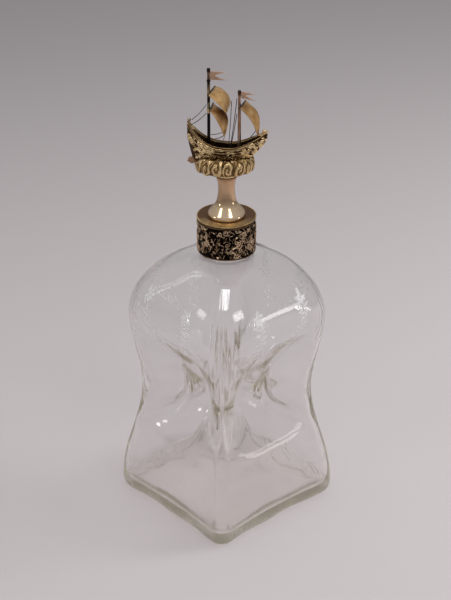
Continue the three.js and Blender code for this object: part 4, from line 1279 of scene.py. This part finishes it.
def makeMast(name):
    g = masts[name]
    foot, top, r = float(deckTopAt(g["x"])) + masts["seat"], g["top"], g["radius"]
    line = [(r * masts["swell"], foot), (r * masts["swell"] * 0.98, foot + 4), (r, lerp(0, top, 0.55))]
    for level in sorted(g["collarAt"]):
        line += [(r, level - 0.55), (r + 0.28, level - 0.4), (r + 0.34, level), (r + 0.28, level + 0.4),
                 (r, level + 0.55)]
    line.sort(key=lambda point: point[1])
    line += [(r * 0.8, top - 3.8), (r * 1.2, top - 3.4), (r * 0.8, top - 3.0)]
    k = g["knob"]
    line += [(k * 0.92, top - 2.35), (k, top - 2.1), (k * 1.04, top - 1.2), (k, top - 0.35),
             (k * 0.8, top - 0.08), (0.05, top)]
    obj = turned(name + "_mast_turned", line, steps=masts["steps"], hollow=False, angle=40)
    return aboard(moved(obj, (g["x"], 0, 0)))


def mastMaterial(name, stops, top):
    return bandedMaterial(name, stops, ship["foot"], top, (0.03, 0.022, 0.016), 0.6)


black, olive, gold = (0.012, 0.010, 0.010), (0.20, 0.17, 0.09), (0.62, 0.46, 0.22)
brown = (0.22, 0.12, 0.075)
mainMetal = mastMaterial("blackenedMast", [
    (0, black), (31.2, black), (31.8, gold), (33.8, gold), (34.4, olive), (38.0, olive), (38.9, black),
    (41.6, black), (42.8, olive), (45.5, gold), (48.6, olive), (50.8, black), (53.4, black), (54.2, brown),
    (57.6, brown), (58.3, (0.03, 0.02, 0.015)),
], masts["main"]["top"])
foreMetal = mastMaterial("copperMast",
                         [(0, (0.50, 0.38, 0.30)), (16, (0.46, 0.33, 0.25)), (24, (0.30, 0.15, 0.08)),
                          (30, (0.42, 0.27, 0.18)),
                                        (43.5, (0.36, 0.22, 0.14)), (44.4, (0.10, 0.05, 0.03))],
                         masts["fore"]["top"])
finished(makeMast("main"), "stopper_top", "oxidised_silver", mainMetal, "main_mast")
finished(makeMast("fore"), "stopper_top", "gilt_silver", foreMetal, "fore_mast")
dressed(knobMetal, "main_mast_ring", "fore_mast_ring")


def makeYard(name):
    g = yards[name]
    mast = masts[g["mast"]]
    r, half = yards["radius"], g["halfSpan"]
    line = [(0.002, -half), (r * 0.75, -half + 0.12), (r * 1.05, -half + 0.6), (r * 0.75, -half + 1.1),
            (r * 0.7, -half + 1.3)]
    line += [(r, -half * 0.3), (r, half * 0.3)]
    line += [(radius, -level) for radius, level in line[4::-1]]
    obj = turned(name + "_yard_turned", line, steps=20, hollow=False, angle=40)
    moved(obj, turn=(90, 0, 0))
    moved(obj, (mast["radius"] + seatGap + r, 0, 0))
    return aboard(moved(obj, (mast["x"], 0, g["height"]), (0, 0, g["turn"])))


yardMetal = handledMaterial("blackenedYard", (0.10, 0.075, 0.05), (0.012, 0.010, 0.009), 0.8, (1, 1, 1),
                            900.0, 0.25, 0.5)
for name in ("topsail", "course", "fore"):
    finished(makeYard(name), "stopper_top", "oxidised_silver", yardMetal, name + "_yard")
print("masts and yards ready")

# sails of thin sheet metal, bellied out, and the pennants

sails = {
    "thickness": 0.45, "across": 44, "down": 56, "hang": 0.2,
    "main_topsail": {"yard": "topsail", "headHalf": 8.0, "footHalf": 9.0, "foot": (1.2, 35.2),
                     "roundness": (0.1, 0.85), "belly": 3.0, "turn": 7},
    "main_course": {"yard": "course", "headHalf": 7.0, "footHalf": 3.2, "foot": (-0.9, 17.4),
                    "roundness": (0.2, 0.3), "belly": 5.2, "turn": 0},
    "foresail": {"yard": "fore", "headHalf": 7.0, "footHalf": 2.0, "foot": (20.0, 18.8),
                 "roundness": (0.4, 0.65), "belly": 3.6, "turn": 8},
}


def makeSail(name):
    g = sails[name]
    yard = yards[g["yard"]]
    mast = masts[yard["mast"]]
    head = (mast["x"] + mast["radius"] + seatGap + 2 * yards["radius"], yard["height"] - sails["hang"])

    def place(a, b):
        c = 1 - b
        roundness = lerp(*g["roundness"], a)
        along = lerp(c, np.sin(math.pi / 2 * c), roundness)
        down = lerp(c, 1 - np.cos(math.pi / 2 * c), roundness)
        span = lerp(g["headHalf"], g["footHalf"], c ** 1.2) * (2 * a - 1)
        swing = math.radians(g["turn"]) * (1 - c)
        swell = np.sin(math.pi * a) * np.sin(math.pi * c ** 0.8)
        x = lerp(head[0], g["foot"][0], along) + g["belly"] * swell + span * np.sin(swing)
        return x, span * np.cos(swing), lerp(head[1], g["foot"][1], down) + 0.35 * g["belly"] * swell

    def wrinkles(a, b):
        return 0.05 * np.sin(9 * a + 14 * b) * np.sin(7 * b + 3) + 0.03 * np.sin(31 * a - 11 * b)

    obj = shapedGrid(name + "_billowed", sails["across"], sails["down"], place, wrinkles, closed=False,
                     angle=60)
    return aboard(thickened(obj, sails["thickness"]))


def sailMaterial(name, centre, size, strength, paintedShade):
    # satin gold, browned round one place by a stain that is partly painted shade in the billow, and dimmed
    # all over by a painted shade factor
    settings = {"Stain": (0.36, 0.19, 0.07, 1), "Stain Amount": 0.45, "Line Scale": 1500.0, "Smooth": 0.42,
                "Worn": 0.62}
    material, tree, group = finish(name, handledGroup, settings, 1, 0.25)
    place = objectPlace(tree)
    spot = fed(tree, place, "Mapping", {"vector_type": "POINT"}, Location=[-c / size for c in centre],
               Scale=[1 / size] * 3)
    length = addNode(tree, "VectorMath", {"operation": "LENGTH"})
    tree.links.new(spot.outputs[0], length.inputs[0])
    # stain and painted shade: brown towards the spot's middle
    brown = mapped(tree, length.outputs["Value"], 0.2, 1.0, strength, 0.0)
    mottle = fed(tree, place, "TexNoise", Scale=260.0, Detail=5.0, Roughness=0.6)
    # painted shade: the sail's gold dimmed by its factor
    gold = mixColours(tree, mapped(tree, mottle.outputs[0], 0.35, 0.7),
                      (0.64 * paintedShade, 0.39 * paintedShade, 0.16 * paintedShade, 1),
                      (0.82 * paintedShade, 0.56 * paintedShade, 0.28 * paintedShade, 1))
    tree.links.new(mixColours(tree, brown, gold, (0.12, 0.045, 0.013, 1)), group.inputs["Base Color"])
    return material


def shipPoint(x, y, z):
    turn = math.radians(ship["turn"])
    return ((x * math.cos(turn) - y * math.sin(turn)) * mm, (x * math.sin(turn) + y * math.cos(turn)) * mm,
            (z + ship["foot"]) * mm)


# the brown spot on each sail, stain and painted shade in one: its middle on the ship, its size, its
# strength, and the painted shade that dims the whole sail
brownedAndShaded = {
    "main_topsail": ((0.0, 0.0, 37.0), 5.0, 0.35, 0.98), "main_course": ((-2.0, 1.0, 31.5), 10.5, 1.0, 1.0),
    "foresail": ((10.5, -2.0, 36.0), 5.5, 0.7, 0.78),
}
for name, (spot, size, strength, paintedShade) in brownedAndShaded.items():
    metal = sailMaterial(name + "Gold", shipPoint(*spot), size * mm, strength, paintedShade)
    finished(makeSail(name), "stopper_top", "satin_gilt_sail", metal, name)

pennants = {
    "thickness": 0.35, "gap": 0.05, "notch": 0.30, "narrowing": 1.5, "flutter": 0.35,
    "main": {"length": 10.2, "hoist": 5.4, "drop": 1.9, "droop": 0.0},
    "fore": {"length": 9.2, "hoist": 4.2, "drop": 0.8, "droop": 1.5},
}


def makePennant(name):
    g = pennants[name]
    mast = masts[name]
    start = mast["x"] + mast["radius"] + pennants["gap"]
    foot = mast["top"] - g["drop"] - g["hoist"]

    def place(a, b):
        reach = g["length"] * lerp(pennants["notch"], 1, np.abs(2 * b - 1) ** pennants["narrowing"])
        x = a * reach
        share = x / g["length"]
        y = pennants["flutter"] * np.sin(2.2 * math.pi * share) * share
        z = foot + g["hoist"] * lerp(b, lerp(0.02, 0.98, b), share) - g["droop"] * share ** 1.3
        return start + x, y, z

    obj = shapedGrid(name + "_pennant_sheet", 40, 24, place, closed=False, angle=60)
    return aboard(thickened(obj, pennants["thickness"]))


copper = handledMaterial("copperPennant", (0.76, 0.51, 0.36), (0.30, 0.17, 0.10), 0.7, (1, 1, 1), 1200.0,
                         0.28, 0.5)
finished(makePennant("main"), "stopper_top", "satin_gilt_sail", copper, "main_pennant")
finished(makePennant("fore"), "stopper_top", "satin_gilt_sail", copper, "fore_pennant")

rigging = ("upper_backstay", "lower_backstay", "course_buntline", "course_sheet", "course_tack",
           "topsail_brace", "fore_stay",
           "main_stay", "foresail_sheet")
wireMetal = handledMaterial("darkWire", (0.13, 0.12, 0.13), (0.02, 0.018, 0.016), 0.6, (1, 1, 1), 1500.0,
                            0.25, 0.45)
dressed(wireMetal, *rigging)
print("sails and rigging ready")

# stage

view = {"distance": 0.896, "height": 0.621, "azimuth": 48, "pitch": 27.8, "lens": 91.8, "shiftX": -1 / 600}
azimuth = math.radians(view["azimuth"])
bpy.ops.object.camera_add(location=(view["distance"] * math.sin(azimuth),
                                    -view["distance"] * math.cos(azimuth), view["height"]),
                          rotation=(math.radians(90 - view["pitch"]), 0, azimuth))
lookout = bpy.context.object
lookout.name = "photographCamera"
lookout.data.lens = view["lens"]
lookout.data.sensor_width = 36
lookout.data.shift_x = view["shiftX"]
lookout.data.clip_start = 0.01
scene.camera = lookout

# painted shade: near is the floor by the object, far is painted darker where the light falls off
floor = {"size": 8.0, "drop": 0.0001, "near": (0.585, 0.543, 0.548), "far": (0.37, 0.341, 0.346)}
alone()
bpy.ops.mesh.primitive_plane_add(size=floor["size"], location=(0, 0, -floor["drop"]))
floorPiece = namedPiece("studio_floor")
material, tree, shader, output = newMaterial("studioFloor")
turn = fed(tree, objectPlace(tree), "Mapping", Rotation=(0, 0, -azimuth))
apart = fed(tree, turn.outputs[0], "SeparateXYZ")
# painted shade: the floor darkens away from the camera
fade = mapped(tree, apart.outputs[1], -0.2, 1.3)
tree.links.new(mixColours(tree, fade, (*floor["near"], 1), (*floor["far"], 1)), shader.inputs["Base Color"])
shader.inputs["Roughness"].default_value = 0.7
shader.inputs["Specular IOR Level"].default_value = 0.2
floorPiece.data.materials.append(material)

world = bpy.data.worlds.new("studioAir")
scene.world = world
world.use_nodes = True
tree = world.node_tree
tree.nodes.clear()
apart = fed(tree, addNode(tree, "TexCoord").outputs["Generated"], "SeparateXYZ")
rise = mapped(tree, apart.outputs[2], -0.15, 0.9)
sky = mixColours(tree, rise, (0.36, 0.345, 0.35, 1), (0.50, 0.50, 0.51, 1))
air = addNode(tree, "Background", Strength=1.0)
tree.links.new(sky, air.inputs["Color"])
out = addNode(tree, "OutputWorld")
tree.links.new(air.outputs[0], out.inputs["Surface"])

# each lamp: how far right, towards the camera and up as the camera sees it,
# then its width, height, power and colour
lamps = [
    ("overheadPanel", (0.0, 0.14, 1.75), 0.2, 0.8, 4.0, (0.98, 0.98, 1.0)),
    ("rightUpperPanel", (0.48, 0.70, 1.42), 0.34, 0.40, 2.2, (1.0, 0.99, 0.97)),
    ("leftUpperPanel", (-0.85, 0.55, 1.30), 0.36, 0.36, 1.4, (1.0, 0.99, 0.97)),
    ("rightPanel", (1.45, 0.3, 0.32), 0.26, 0.26, 0.8, (1.0, 0.98, 0.96)),
    ("leftPanel", (-1.45, 0.35, 0.6), 0.12, 0.2, 1.0, (1.0, 0.97, 0.94)),
    ("backPanel", (1.2, -0.3, 0.95), 0.4, 0.4, 11.0, (1.0, 1.0, 1.0)),
]
for name, (right, near, up), wide, tall, power, colour in lamps:
    spot = (right * math.cos(azimuth) + near * math.sin(azimuth),
            right * math.sin(azimuth) - near * math.cos(azimuth), up)
    bpy.ops.object.light_add(type="AREA", location=spot)
    lamp = bpy.context.object
    lamp.name = name
    lamp.data.shape = "RECTANGLE"
    lamp.data.size, lamp.data.size_y = wide, tall
    lamp.data.energy = power
    lamp.data.color = colour
    if name == "backPanel":            # it only throws the soft shadow to the left, and no glint
        lamp.visible_glossy = lamp.visible_transmission = False
    aim = -lamp.location.copy()
    aim.z += 0.15
    lamp.rotation_euler = aim.to_track_quat("-Z", "Y").to_euler()
    if name == "overheadPanel":
        lamp.rotation_euler = (0, 0, azimuth)

scene.cycles.max_bounces = 72          # thick glass turns light round many times before it lets it out
scene.cycles.glossy_bounces = 48
scene.cycles.transmission_bounces = 72
scene.view_settings.view_transform = "Standard"
print("stage ready")
